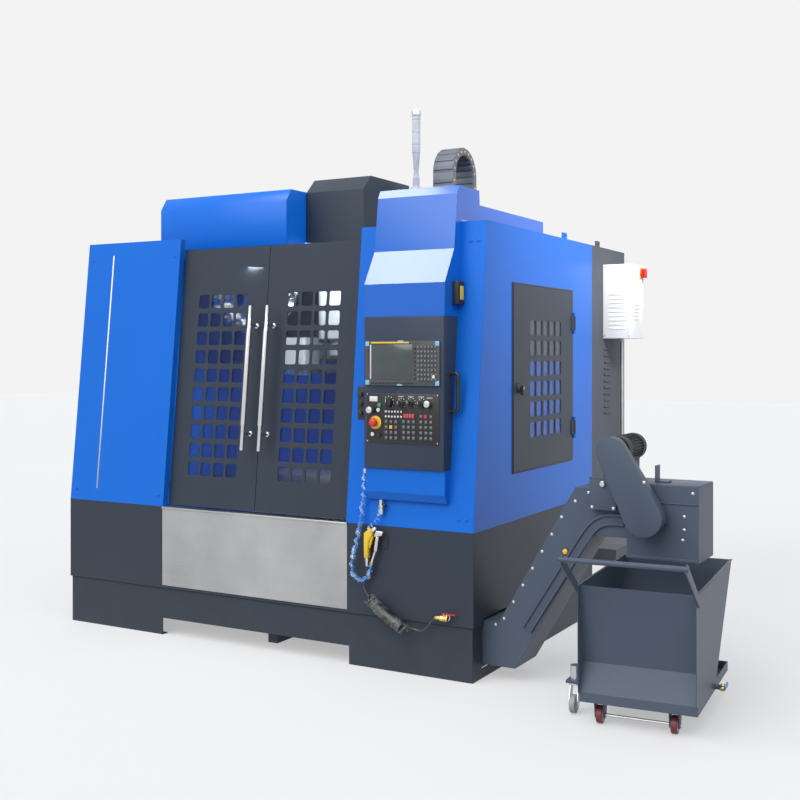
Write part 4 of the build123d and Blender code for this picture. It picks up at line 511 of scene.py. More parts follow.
def drawnPlate(name, outline, y, edge=0.002):
    # a flat outline of (x, z) points is filled, drawn out from y[0] to y[1] and its edges rounded
    clearSelection()
    bpy.ops.mesh.primitive_circle_add(vertices=len(outline), radius=1, fill_type="NGON", location=(0, 0, 0))
    piece = bpy.context.object
    piece.name = name
    for vertex, point in zip(piece.data.vertices, outline):
        vertex.co = (point[0], y[0], point[1])
    editAll()
    bpy.ops.mesh.extrude_region_move(TRANSFORM_OT_translate={"value": (0, y[1] - y[0], 0)})
    bpy.ops.mesh.select_all(action="SELECT")
    bpy.ops.mesh.normals_make_consistent(inside=False)
    bpy.ops.mesh.bevel(offset=edge, segments=3, affect="EDGES")
    bpy.ops.object.mode_set(mode="OBJECT")
    smoothPiece()
    return piece


frontLean = {"foot": (0, -1.12, 0.709), "angle": -5.9}


def leanOn(piece):
    # moves a piece from the upright front plane onto the leaning front
    lean = Matrix.Translation(frontLean["foot"]) @ Matrix.Rotation(math.radians(frontLean["angle"]), 4, "X")
    bpy.context.view_layer.update()
    piece.matrix_world = lean @ piece.matrix_world
    return piece


softEdges = {
    "console_housing": 0.006, "control_panel": 0.0012, "magazine_housing": 0.006, "head_shroud": 0.005,
    "supply_box": 0.004, "belt_guard": 0.004, "stainless_front": 0.0014, "hand_pendant": 0.003,
    "override_dial": 0.0015, "cable_chain": 0.0015, "chain_leg": 0.0015, "work_table": 0.002,
    "spindle_head": 0.006, "saddle": 0.004,
}
softening = {"merge": 0.00001, "flatAngle": 1.5, "edgeAngle": 40, "steps": 2}


def softenNode(nodeName, width, slotName, body):
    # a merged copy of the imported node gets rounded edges, as folded or moulded ones have
    source = frame["nodes"][nodeName]
    clearSelection()
    piece = source.copy()
    piece.data = source.data.copy()
    piece.parent = None
    piece.matrix_world = source.matrix_world.copy()
    piece.name = nodeName + "Soft"
    bpy.context.scene.collection.objects.link(piece)
    pick(piece)
    editAll()
    bpy.ops.mesh.remove_doubles(threshold=softening["merge"])
    bpy.ops.mesh.dissolve_limited(angle_limit=math.radians(softening["flatAngle"]))
    bpy.ops.object.mode_set(mode="OBJECT")
    bevel = piece.modifiers.new("edges", "BEVEL")
    bevel.width = width
    bevel.segments = softening["steps"]
    bevel.limit_method = "ANGLE"
    bevel.angle_limit = math.radians(softening["edgeAngle"])
    bevel.use_clamp_overlap = True
    bpy.ops.object.modifier_apply(modifier="edges")
    smoothPiece()
    settle(piece, body, slotName, source.data.materials[0])
    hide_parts(nodeName)


def softenSheets():
    slots = {part["node"]: part["material_slot"] for part in frame["record"]["subparts"]}
    bodyOf = {}
    for bodyName, nodeNames in frame["record"]["behaviour"]["bodies"].items():
        for nodeName in nodeNames:
            bodyOf[nodeName] = bodyName
    for nodeName, width in softEdges.items():
        softenNode(nodeName, width, slots[nodeName], bodyOf[nodeName])
    print("folded edges rounded")


def tickPlaces(dials, reach):
    # nine ticks round each dial, open at the bottom
    angles = [math.radians(-40 + step * 32.5) for step in range(9)]
    return [(x + reach * math.cos(angle), z + reach * math.sin(angle)) for x, z in dials for angle in angles]


console = {
    "faces": {
        "recess": -1.169, "screen": -1.172, "keypad": -1.1749, "keypadTop": -1.1761,
        "plate": -1.1686, "caps": -1.1719, "capTop": -1.1731, "display": -1.1685,
        "bezel": -1.1705, "dials": -1.1895, "knobTop": -1.2094, "feedTop": -1.1979,
    },
    "glass": ((0.7745, -1.1702, 1.4262), (0.9998, -1.169, 1.6)),
    "keyPlate": ((0.7445, -1.1686, 1.1235), (1.1385, -1.168, 1.3595)),
    "keypad": gridPlaces((1.081, 1.508), (0.0185, 0.022), 6, 8),
    "tabs": [(0.7495, 1.602), (1.135, 1.602), (0.7495, 1.414), (1.135, 1.414)],
    "middleTabs": [(0.936, 1.6135), (0.93, 1.4045)],
    "keyGroups": (((0.883, 1.186), 4), ((0.98, 1.188), 4), ((1.074, 1.202), 5)),
    "keyPitch": (0.027, 0.026),
    "dials": [(0.939, 1.315), (0.992, 1.319), (1.049, 1.317)],
    "feedDial": (0.868, 1.319),
    "display": (0.98, 1.255),
    "stop": (0.791, 1.219),
    "lampRings": [(0, 0.0098), (0.004, 0.0098), (0.0065, 0.0078)],
    "knobRings": [(0, 0.0155), (0.004, 0.0165), (0.0055, 0.0125), (0.0185, 0.0115), (0.02, 0.0105)],
    "cupRings": [(0, 0.0155), (0.002, 0.0165), (0.006, 0.0155), (0.0075, 0.011)],
    "footRings": [(0, 0.016), (0.003, 0.016), (0.006, 0.012)],
    "feet": [(1.165, -1.095, 1.279), (1.165, -1.095, 1.462)],
}


def consoleColors():
    return {
        "black": finishes["black_plastic"],
        "red": finishes["red_plastic"],
        "bright": finishes["ground_steel"],
        "pale": plastic("paleKeys", (0.36, 0.38, 0.40), 0.5),
        "grey": plastic("greyKeys", (0.10, 0.105, 0.115), 0.5),
        "white": plastic("whiteKeys", (0.72, 0.73, 0.74), 0.4),
        "green": plastic("greenKeys", (0.03, 0.38, 0.14), 0.3, fade=0.1, coat=0.4),
        "yellow": plastic("yellowKeys", (0.85, 0.50, 0.02), 0.35, fade=0.1, coat=0.3),
        "film": plastic("blueFilm", (0.22, 0.50, 0.72), 0.2, grain=500, fade=0.3, coat=0.6),
        "screen": plastic("screenGlass", (0.040, 0.055, 0.058), 0.16, grain=60, fade=0.25, coat=0.5, strength=0.01),
        "lit": plastic("redDigits", (0.75, 0.06, 0.05), 0.25, fade=0.2, coat=0.3),
        "plate": plastic("keyPlateBlack", (0.012, 0.011, 0.012), 0.38, fade=0.2),
    }


def consoleFlats(c):
    keys = [place for centre, rows in c["keyGroups"] for place in gridPlaces(centre, c["keyPitch"], 3, rows)]
    ticks = tickPlaces(c["dials"], 0.0235) + tickPlaces([c["feedDial"]], 0.0285)
    digits = [(c["display"][0] + dx, c["display"][1]) for dx in (-0.0225, -0.0075, 0.0075, 0.0225)]
    legends = [(0.936, 1.3475), (0.99, 1.3475), (1.047, 1.3475), (1.093, 1.343)]
    column, row = gridPlaces((1.0135, 1.507), (0, 0.0203), 1, 8), gridPlaces((0.889, 1.4125), (0.0198, 0), 12, 1)
    pointers, feedPointer = shifted(c["dials"], 0, 0.0045), shifted([c["feedDial"]], 0, 0.008)
    keyMarks, capMarks = shifted(c["keypad"], -0.0008, 0.0014), shifted(keys, 0.001, 0.002)
    # name, places, (width, height), face, rise, edge, slot, colour
    return [
        ("screenStrip", [(0.7675, 1.515)], (0.006, 0.166), "recess", 0.0016, 0.0004, "panel_plastic", "white"),
        ("screenTopStrip", [(0.876, 1.6075)], (0.212, 0.0075), "screen", 0.0006, 0.0002, "gun_yellow", "yellow"),
        ("softKeyColumn", column, (0.0105, 0.011), "screen", 0.0022, 0.0006, "black_plastic", "black"),
        ("softKeyRow", row, (0.013, 0.0085), "screen", 0.0022, 0.0006, "black_plastic", "black"),
        ("keypadCaps", c["keypad"], (0.0115, 0.0125), "keypad", 0.0012, 0.0004, "panel_plastic", "grey"),
        ("keypadMarks", keyMarks, (0.0055, 0.0026), "keypadTop", 0.0002, 0.0001, "panel_plastic", "pale"),
        ("panelCaps", keys, (0.0145, 0.0145), "caps", 0.0012, 0.0005, "panel_plastic", "grey"),
        ("panelMarks", capMarks, (0.0062, 0.0042), "capTop", 0.0003, 0.0001, "panel_plastic", "pale"),
        ("yellowKey", [(0.883, 1.199)], (0.016, 0.016), "caps", 0.0024, 0.0008, "gun_yellow", "yellow"),
        ("redKey", [(1.071, 1.254)], (0.015, 0.017), "caps", 0.0024, 0.0008, "red_plastic", "red"),
        ("displayBezel", [c["display"]], (0.07, 0.026), "display", 0.002, 0.0006, "black_plastic", "black"),
        ("displayDigits", digits, (0.0115, 0.018), "bezel", 0.0005, 0.0002, "red_plastic", "lit"),
        ("dialTicks", ticks, (0.0042, 0.0042), "plate", 0.0004, 0.0002, "white_paint", "white"),
        ("dialPointers", pointers, (0.0024, 0.012), "knobTop", 0.0005, 0.0002, "white_paint", "white"),
        ("feedPointer", feedPointer, (0.0026, 0.018), "feedTop", 0.0005, 0.0002, "white_paint", "white"),
        ("barePlate", [(0.7835, 1.334)], (0.044, 0.025), "plate", 0.0005, 0.0002, "white_paint", "white"),
        ("legendPlates", legends, (0.03, 0.006), "plate", 0.0003, 0.0001, "panel_plastic", "pale"),
    ]


def consoleRounds(c):
    selectors = [(0.8545 + i * 0.017, z) for i in range(6) for z in (1.25, 1.274)]
    screws = [(x, z) for x in (0.7485, 1.1345) for z in (1.1275, 1.3555)]
    button = [(0, 0.0085), (0.0035, 0.0085), (0.0045, 0.0072)]
    key = [(0, 0.0052), (0.0014, 0.0052), (0.002, 0.0042)]
    ring = [(0, 0.0325), (0.0012, 0.0325), (0.0018, 0.031)]
    head = [(0, 0.0026), (0.0008, 0.0026), (0.0014, 0.0016)]
    # name, rings, places, face, sides, slot, colour
    return [
        ("screenButton", button, [(1.1165, 1.4445)], "screen", 24, "white_paint", "white"),
        ("selectorKeys", key, selectors, "caps", 16, "white_paint", "white"),
        ("stopRing", ring, shifted([c["stop"]], 0.003, 0), "display", 40, "gun_yellow", "yellow"),
        ("dialKnobs", c["knobRings"], c["dials"], "dials", 32, "black_plastic", "black"),
        ("keySwitchRings", c["cupRings"], [(0.771, 1.28), (1.089, 1.315)], "dials", 28, "zinc_steel", "bright"),
        ("whiteLampCap", c["lampRings"], [(0.811, 1.28), (0.7785, 1.161)], "plate", 24, "white_paint", "white"),
        ("greenLampCap", c["lampRings"], [(0.817, 1.304)], "plate", 24, "lever_blue", "green"),
        ("blackButtonCap", c["lampRings"], [(0.8145, 1.1595)], "plate", 24, "black_plastic", "black"),
        ("panelScrews", head, screws, "plate", 12, "zinc_steel", "bright"),
    ]


def makeConsole():
    c, colors = console, consoleColors()
    faces = c["faces"]
    settle(roundedBlock("screenPane", *c["glass"], 0.0006), "machine", "panel_plastic", colors["screen"])
    settle(roundedBlock("keyPlate", *c["keyPlate"], 0.0002), "machine", "black_plastic", colors["plate"])
    tabs = plates("filmTabs", c["tabs"], (0.021, 0.022), faces["screen"], 0.0005, 0.0002)
    middle = plates("filmTabsMiddle", c["middleTabs"], (0.03, 0.009), faces["screen"], 0.0005, 0.0002)
    settle(joinPieces([tabs, middle], "filmTabs"), "machine", "lever_blue", colors["film"])
    for name, places, size, face, rise, edge, slotName, color in consoleFlats(c):
        body = "feed_dial" if name == "feedPointer" else "machine"
        settle(plates(name, places, size, faces[face], rise, edge), body, slotName, colors[color])
    for name, rings, places, face, sides, slotName, color in consoleRounds(c):
        piece = turnedCopies(name, rings, onFace(places, faces[face]), toFront, sides)
        settle(piece, "machine", slotName, colors[color])
    settle(turnedCopies("grabFeet", c["footRings"], c["feet"], toRight), "machine", "black_plastic")
    print("console dressed")


stopButton = {
    "head": [
        (0, 0.0185), (0.001, 0.0205), (0.009, 0.021), (0.0125, 0.0198),
        (0.0165, 0.0165), (0.019, 0.0105), (0.0198, 0.004),
    ],
    "neck": [(0, 0.008), (0.021, 0.008)],
    "headBack": -1.181,
    "neckBack": -1.16,
}


def makeStopButton():
    # the mushroom head bulges and its neck is black
    s, (x, z) = stopButton, console["stop"]
    head = turnedPart("stopHead", s["head"], (x, s["headBack"], z), toFront, 40)
    settle(head, "stop_button", "red_plastic")
    settle(turnedPart("stopNeck", s["neck"], (x, s["neckBack"], z), toFront, 24), "stop_button", "black_plastic")
    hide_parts("estop_button")
    print("stop button made")


tower = {
    "at": (0.88, -0.91, 0),
    "foot": [(2.374, 0.0255), (2.376, 0.0275), (2.39, 0.0275), (2.393, 0.0245)],
    "stem": [
        (2.392, 0.0175), (2.44, 0.0175), (2.443, 0.0145), (2.462, 0.0125),
        (2.478, 0.0125), (2.52, 0.0165), (2.566, 0.0195),
    ],
    "tube": ((2.566, 0.0205), (2.569, 0.0215), (2.752, 0.0215)),
    "grooves": (2.602, 2.662, 2.726),
    "groove": ((0, 0.0215), (0.002, 0.0198), (0.005, 0.0198), (0.007, 0.0215)),
    "cap": [(2.752, 0.0238), (2.756, 0.0245), (2.772, 0.0245), (2.781, 0.0195), (2.784, 0.008)],
    "sides": 40,
}


def makeTower():
    t = tower
    clear = plastic("lampSleeve", (0.50, 0.54, 0.62), 0.18, grain=300, fade=0.5, coat=0.7, strength=0.15)
    wrap = plastic("towerWrap", (0.40, 0.44, 0.52), 0.22, grain=160, fade=0.8, coat=0.5, strength=0.5)
    ribs = [(up + rise, radius) for up in t["grooves"] for rise, radius in t["groove"]]
    rings = [*t["tube"][:2], *ribs, t["tube"][2]]
    tube = settle(turnedPart("towerTube", rings, t["at"], toTop, t["sides"]), "machine", "lamp_shell", clear)
    ends = joinTurned("towerEnds", [(t[key], t["at"], toTop, t["sides"]) for key in ("foot", "cap")])
    settle(ends, "machine", "zinc_steel", finishes["ground_steel"])
    settle(turnedPart("towerStem", t["stem"], t["at"], toTop, t["sides"]), "machine", "lamp_shell", wrap)
    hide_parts("tower_light")
    print("signal tower made")


cowlBox = {
    "low": (1.1665, -1.0795, 1.7895),
    "high": (1.1985, -1.0085, 1.9035),
    "coverRise": 0.0028,
    "coverInset": {"front": 0.022, "back": 0.012, "up": 0.024},
}


def makeCowlBox():
    low, high, inset = cowlBox["low"], cowlBox["high"], cowlBox["coverInset"]
    settle(roundedBlock("cowlBoxBody", low, high, 0.005, 3), "machine", "black_plastic")
    coverLow = (high[0], low[1] + inset["front"], low[2] + inset["up"])
    coverHigh = (high[0] + cowlBox["coverRise"], high[1] - inset["back"], high[2] - inset["up"])
    yellow = plastic("yellowCover", (0.72, 0.52, 0.02), 0.35, fade=0.1, coat=0.3)
    settle(roundedBlock("cowlBoxCover", coverLow, coverHigh, 0.0012), "machine", "gun_yellow", yellow)
    print("cowl box made")


frontTrim = {
    "stripeX": (-1.1045, -1.0945),
    "stripeUp": (0.072, 1.424),
    "stripeRise": 0.0006,
    "boltX": (-1.26, -0.64, 1.22, 1.26),
    "boltUp": (0.06, 1.40),
    "boltRings": [(0, 0.0075), (0.003, 0.0075), (0.0042, 0.005)],
}


def makeFrontTrim():
    t = frontTrim
    low, high = zip(t["stripeX"], (-t["stripeRise"], 0.0), t["stripeUp"])
    settle(leanOn(roundedBlock("panelStripe", low, high, 0.0002)), "machine", "white_paint")
    bolts = [(x, 0, up) for x in t["boltX"] for up in t["boltUp"]]
    settle(leanOn(turnedCopies("panelBolts", t["boltRings"], bolts, toFront, 16)), "machine", "blue_paint")
    print("front trim made")


doorHandle = {
    "x": {"left": -0.064, "right": 0.048},
    "stand": 0.027,
    "up": (0.33, 1.105),
    "grip": (0.466, 0.976),
    "posts": (0.422, 1.003),
    "post": [(0, 0.0078), (0.050, 0.0078), (0.052, 0.0078), (0.064, 0.0078), (0.066, 0.0135), (0.072, 0.0145)],
}


def barRings(end, grip, inward):
    # from one end of the bar to its thicker grip
    steps = ((end, 0.0015, 0.0105), (grip, -0.004, 0.0108), (grip, 0, 0.0135), (grip, 0.003, 0.014))
    return [(end, 0.0085)] + [(start + inward * step, radius) for start, step, radius in steps]


def makeHandles():
    d = doorHandle
    bar = barRings(d["up"][0], d["grip"][0], 1) + barRings(d["up"][1], d["grip"][1], -1)[::-1]
    for side, x in d["x"].items():
        tube = leanOn(turnedPart(side + "Bar", bar, (x, -d["stand"], 0)))
        posts = turnedCopies(side + "Posts", d["post"], [(x, -d["stand"], up) for up in d["posts"]], toBack)
        handle = joinPieces([tube, leanOn(posts)], side + "HandleMade")
        settle(handle, side + "_leaf", "silver_handle")
        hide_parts(side + "_handle")
    print("handles made")


sideDoor = {
    "latch": (1.306, -0.596, 1.379),
    "latchRings": [(0, 0.026), (0.002, 0.027), (0.006, 0.0255), (0.0155, 0.0212)],
    "lever": ((0.0145, -0.0105, -0.037), (0.0275, 0.0105, 0.013)),
    "keyStand": 0.0273,
    "keyRings": [(0, 0.006), (0.0012, 0.006), (0.002, 0.0045)],
    "wall": 1.3,
    "y": (-0.663, 0.176),
    "z": (0.954, 1.906),
    "seal": {"gap": 0.002, "reach": 0.009, "rise": 0.004},
}
supplyBox = {
    "face": 0.7115,
    "slatX": (1.34, 1.44),
    "slatUp": [1.70 + step * 0.026 for step in range(9)],
    "slatHeight": 0.012,
    "screws": [(x, z) for x in (1.3125, 1.4625) for z in (1.661, 2.082)],
    "screwRings": [(0, 0.005), (0.002, 0.005), (0.003, 0.0032)],
    "plate": ((1.4752, 0.885, 2.012), (1.4766, 0.955, 2.088)),
    "grip": ((1.4885, 0.911, 2.021), (1.5095, 0.929, 2.079)),
    "collar": (1.4753, 0.92, 2.05),
    "collarRings": [(0, 0.029), (0.002, 0.030), (0.011, 0.030), (0.0135, 0.027)],
}


def makeSideDoorTrim():
    d = sideDoor
    x, y, z = d["latch"]
    ring = turnedPart("latchRing", d["latchRings"], d["latch"], toRight)
    lever = roundedBlock("latchLever", *around(d["latch"], *d["lever"]), 0.003, 3)
    settle(joinPieces([ring, lever], "sideLatch"), "side_leaf", "black_plastic")
    key = turnedPart("latchKey", d["keyRings"], (x + d["keyStand"], y, z), toRight, 16)
    settle(key, "side_leaf", "zinc_steel", finishes["ground_steel"])
    gap, reach, rise = d["seal"].values()
    (y0, y1), (z0, z1), wall = d["y"], d["z"], d["wall"]
    front, end, low, high = y0 - reach, y1 + gap, z0 - reach, z1 + reach
    seal = joinBlocks("sideDoorSeal", [
        ((wall, front, low), (wall + rise, y0 - gap, high), 0.0015),
        ((wall, front, z1 + gap), (wall + rise, end, high), 0.0015),
        ((wall, front, low), (wall + rise, end, z0 - gap), 0.0015),
    ])
    settle(seal, "machine", "black_plastic")
    print("side door trim made")


def makeSupplyBoxTrim():
    b = supplyBox
    plate = roundedBlock("switchPlate", *b["plate"], 0.0006)
    settle(plate, "machine", "gun_yellow", plastic("switchYellow", (0.78, 0.55, 0.03), 0.4))
    grip = roundedBlock("switchGrip", *b["grip"], 0.003, 3)
    collar = turnedPart("switchCollar", b["collarRings"], b["collar"], toRight)
    knob = settle(joinPieces([grip, collar], "switchKnob"), "isolator_knob", "red_plastic")
    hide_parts("main_switch")
    (x0, x1), y = b["slatX"], b["face"]
    slats = [((x0, y - 0.003, z), (x1, y, z + b["slatHeight"]), 0.001) for z in b["slatUp"]]
    settle(joinBlocks("boxSlats", slats), "machine", "white_paint")
    screws = turnedCopies("boxScrews", b["screwRings"], onFace(b["screws"], y), toFront, 14)
    settle(screws, "machine", "zinc_steel", finishes["ground_steel"])
    print("supply box trim made")


rearTrim = {
    "leafFace": 1.139,
    "latches": [(0.652, 1.05), (0.652, 1.78)],
    "latchRings": [(0, 0.019), (0.002, 0.020), (0.005, 0.0185), (0.006, 0.011), (0.0105, 0.010)],
    "latchBar": ((-0.005, 0.006, -0.017), (0.005, 0.0115, 0.017)),
    "fan": (0.95, 1.93),
    "guardRings": (0.018, 0.034, 0.050, 0.066),
    "guardWire": 0.0014,
    "ringStand": 0.006,
    "spoke": ((-0.07, -0.0012, -0.0022), (0.07, 0.0012, 0.0022), 0.0006),
    "spokeStand": 0.0042,
    "spokeTurns": (0.25, 0.75),  # in half turns
    "fanPlate": [(0, 0.074), (0.002, 0.074), (0.003, 0.071), (0.0032, 0.069)],
    "slatX": (0.78, 1.12),
    "slatUp": [0.79 + 0.14 * index / 5 for index in range(6)],
    "slatHeight": 0.014,
}


def fanGuardWires(x, y, z):
    r, wires = rearTrim, []
    for radius in r["guardRings"]:
        clearSelection()
        bpy.ops.mesh.primitive_torus_add(
            major_radius=radius, minor_radius=r["guardWire"], major_segments=48, minor_segments=8,
            rotation=(math.pi / 2, 0, 0), location=(x, y + r["ringStand"], z),
        )
        wires.append(bpy.context.object)
    for turn in r["spokeTurns"]:
        spoke = roundedBlock("fanSpoke", *r["spoke"])
        cross = Matrix.Translation((x, y + r["spokeStand"], z)) @ Matrix.Rotation(math.pi * turn, 4, "Y")
        spoke.matrix_world = cross @ spoke.matrix_world
        pick(spoke)
        bpy.ops.object.transform_apply(location=True, rotation=True, scale=True)
        wires.append(spoke)
    return wires


def makeRearTrim():
    r = rearTrim
    y, (fanX, fanZ) = r["leafFace"], r["fan"]
    latches = [turnedCopies("cabinetLatches", r["latchRings"], onFace(r["latches"], y), toBack, 28)]
    for x, z in r["latches"]:
        latches.append(roundedBlock("latchBar", *around((x, y, z), *r["latchBar"])))
    settle(joinPieces(latches, "cabinetLatches"), "cabinet_leaf", "zinc_steel")
    settle(joinPieces(fanGuardWires(fanX, y, fanZ), "fanGuard"), "cabinet_leaf", "zinc_steel")
    settle(turnedPart("fanPlate", r["fanPlate"], (fanX, y, fanZ), toBack, 48), "cabinet_leaf", "black_plastic")
    x0, x1 = r["slatX"]
    slats = [((x0, y - 0.0005, z), (x1, y + 0.004, z + r["slatHeight"]), 0.0015) for z in r["slatUp"]]
    settle(joinBlocks("ventSlats", slats), "cabinet_leaf", "grey_paint")
    print("rear dressed")


conveyor = {
    "face": -1.0,
    "boltRings": [(0, 0.0072), (0.001, 0.0072), (0.0014, 0.0052), (0.0048, 0.0052), (0.0056, 0.004)],
    "flangeBolts": [(1.359, 0.264), (1.403, 0.298), (1.76, 0.878), (1.824, 0.921)],
    "slopeBolts": [(1.452 + i * 0.0483, 0.382 + i * 0.0836) for i in range(6)],
    "hoodBolts": [(2.262, 0.842), (2.262, 0.784), (2.256, 0.738), (2.30, 0.945)],
    "bandLine": [
        (1.522, 0.262), (1.800, 0.706), (1.832, 0.752), (1.862, 0.782), (1.896, 0.800), (1.935, 0.806), (1.992, 0.806),
    ],
    "bands": [(0.0, 0.026, 0.006), (0.021, 0.006, 0.014), (-0.021, 0.005, 0.011)],  # aside, half width, rise
    "hood": [
        ((2.002, -1.0042, 0.893), (2.326, -1.0, 0.8985), 0.0012),
        ((2.0, -1.003, 0.640), (2.3265, -0.9995, 0.656), 0.001),
        ((2.006, -0.997, 0.9705), (2.323, -0.748, 0.9755), 0.0016),
    ],
    "guardBolts": [(2.115, -1.105, 0.994)],
    "fanCover": [(0, 0.0585), (0.004, 0.0605), (0.02, 0.0605), (0.0245, 0.054), (0.0255, 0.03)],
    "motor": (1.957, -0.7645, 1.122),
    "headCover": [
        ((1.842, -1.0395, 0.851), (1.966, -1.036, 0.999), 0.0012),
        ((1.846, -1.0405, 0.989), (1.962, -1.0, 0.9965), 0.001),
    ],
    "headBolts": [(1.954, -1.0395, 0.862), (1.854, -1.0395, 0.862)],
    "knob": (1.905, -1.0405, 0.969),
    "knobRings": [(0, 0.0125), (0.002, 0.0135), (0.008, 0.0135), (0.0105, 0.0105)],
    "button": (1.712, -1.0, 0.643),
    "buttonRing": [(0, 0.0165), (0.003, 0.0165), (0.004, 0.0145)],
    "buttonCap": [(0.0035, 0.0125), (0.0075, 0.012), (0.009, 0.009)],
}


def stripAlong(line, aside, half):
    # outline of a strip of even width that runs beside a line of points
    sides = ([], [])
    for index, (x, z) in enumerate(line):
        before, after = line[max(index - 1, 0)], line[min(index + 1, len(line) - 1)]
        runX, runZ = after[0] - before[0], after[1] - before[1]
        long = math.hypot(runX, runZ)
        for side, offset in ((0, aside - half), (1, aside + half)):
            sides[side].append((x - runZ / long * offset, z + runX / long * offset))
    return sides[0] + sides[1][::-1]


def makeConveyorTrim():
    c = conveyor
    face, head, dark, bright = c["face"], c["boltRings"], finishes["chip_paint"], finishes["zinc_steel"]
    flange = c["flangeBolts"][:2] + c["slopeBolts"] + c["flangeBolts"][2:]
    bolts = turnedCopies("conveyorBolts", head, onFace(flange + c["hoodBolts"], face), toFront, 12)
    settle(bolts, "machine", "zinc_steel", bright)
    bands = []
    for aside, half, rise in c["bands"]:
        strip = stripAlong(c["bandLine"], aside, half)
        bands.append(drawnPlate("bandStrip", strip, (face - rise, face + 0.001), 0.0012))
    settle(joinPieces(bands, "conveyorBands"), "machine", "slate_paint", dark)
    settle(joinBlocks("hoodFolds", c["hood"]), "machine", "slate_paint", dark)
    settle(turnedCopies("guardBolts", head, c["guardBolts"], toFront, 12), "machine", "zinc_steel", bright)
    settle(turnedPart("motorFanCover", c["fanCover"], c["motor"], toBack, 36), "machine", "motor_paint")
    settle(joinBlocks("headCover", c["headCover"]), "machine", "slate_paint", dark)
    screws = turnedCopies("headBolts", head, c["headBolts"], toFront, 12)
    knob = turnedPart("headKnob", c["knobRings"], c["knob"], toFront, 24)
    settle(joinPieces([screws, knob], "headScrews"), "machine", "zinc_steel", bright)
    settle(turnedPart("buttonRing", c["buttonRing"], c["button"], toFront, 28), "machine", "black_plastic")
    settle(turnedPart("sideButton", c["buttonCap"], c["button"], toFront, 24), "machine", "gun_yellow")
    print("conveyor dressed")


chipCart = {
    "corner": (1.935, -1.424),
    "turn": 4.2,
    "width": 0.488,
    "wheelX": (0.074, 0.385),
    "axles": {"front": 0.066, "rear": 0.680},
    "wheelRadius": 0.038,
    "tyre": [
        (-0.013, 0.0285), (-0.013, 0.034), (-0.0105, 0.0375), (-0.004, 0.038),
        (0.004, 0.038), (0.0105, 0.0375), (0.013, 0.034), (0.013, 0.0285),
    ],
    "hub": [(-0.0148, 0.009), (-0.0148, 0.013), (-0.0138, 0.0285), (0.0138, 0.0285), (0.0148, 0.013), (0.0148, 0.009)],
    "rod": [(0.049, 0.0052), (0.05, 0.006), (0.409, 0.006), (0.41, 0.0052)],
    "caster": (-0.066, 0.149, 0.040),
    "casterTyre": [
        (-0.013, 0.030), (-0.013, 0.036), (-0.010, 0.0395),
        (0.010, 0.0395), (0.013, 0.036), (0.013, 0.030),
    ],
    "casterRod": [(-0.024, 0.006), (0.024, 0.006)],
    "drain": (0.488, 0.400, 0.116),
    "drainNut": [(0.024, 0.0158), (0.026, 0.017), (0.038, 0.017), (0.0402, 0.0156)],
    "rim": {"y": (-0.028, 0.854), "z": (0.586, 0.5925), "width": 0.010, "overhang": 0.0035},
}


def cartPoint(x, y, z):
    turn = math.radians(chipCart["turn"])
    cos, sin = math.cos(turn), math.sin(turn)
    return (chipCart["corner"][0] + x * cos - y * sin, chipCart["corner"][1] + x * sin + y * cos, z)


def makeCartTrim():
    c = chipCart
    turn, high = math.radians(c["turn"]), c["wheelRadius"]
    across = (math.cos(turn), math.sin(turn), 0)
    grey = plastic("wheelHub", (0.42, 0.42, 0.43), 0.4)
    for end, y in c["axles"].items():
        node, body = "cart_" + end + "_wheels", end + "_axle"
        places = [cartPoint(x, y, high) for x in c["wheelX"]]
        tyres = settle(turnedCopies(node + "Tyres", c["tyre"], places, across, 40), body, "maroon_wheel")
        settle(turnedCopies(node + "Hubs", c["hub"], places, across, 28), body, "lamp_shell", grey)
        settle(turnedPart(node + "Rod", c["rod"], cartPoint(0, y, high), across, 20), body, "zinc_steel")
        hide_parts(node)
    centre = cartPoint(*c["caster"])
    tyre = turnedPart("casterTyre", c["casterTyre"], centre, across, 40)
    settle(tyre, "caster_wheel", "maroon_wheel", plastic("paleTyre", (0.34, 0.34, 0.35), 0.5))
    settle(turnedPart("casterHub", c["hub"], centre, across, 28), "caster_wheel", "lamp_shell", grey)
    settle(turnedPart("casterRod", c["casterRod"], centre, across, 20), "caster_wheel", "zinc_steel")
    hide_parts("brake_wheel")
    nut = turnedPart("drainNut", c["drainNut"], cartPoint(*c["drain"]), across, 6)
    settle(nut, "cart", "zinc_steel", finishes["cast_brass"])
    r = c["rim"]
    (y0, y1), (z0, z1) = r["y"], r["z"]
    sides = (-r["overhang"], c["width"] + r["overhang"] - r["width"])
    rim = joinBlocks("cartRim", [((x, y0, z0), (x + r["width"], y1, z1), 0.0018) for x in sides])
    rim.matrix_world = Matrix.Translation(cartPoint(0, 0, 0)) @ Matrix.Rotation(turn, 4, "Z") @ rim.matrix_world
    settle(rim, "cart", "slate_paint", finishes["chip_paint"])
    print("cart dressed")


chainPins = {
    "x": 0.5195,
    "centre": (0.385, 2.660),
    "radius": 0.144,
    "archCount": 9,
    "pitch": 0.046,
    "side": {"foot": 2.18, "count": 10},
    "leg": {"foot": 2.472, "count": 4},
    "rings": [(0, 0.0075), (0.0015, 0.0075), (0.0024, 0.0055)],
}


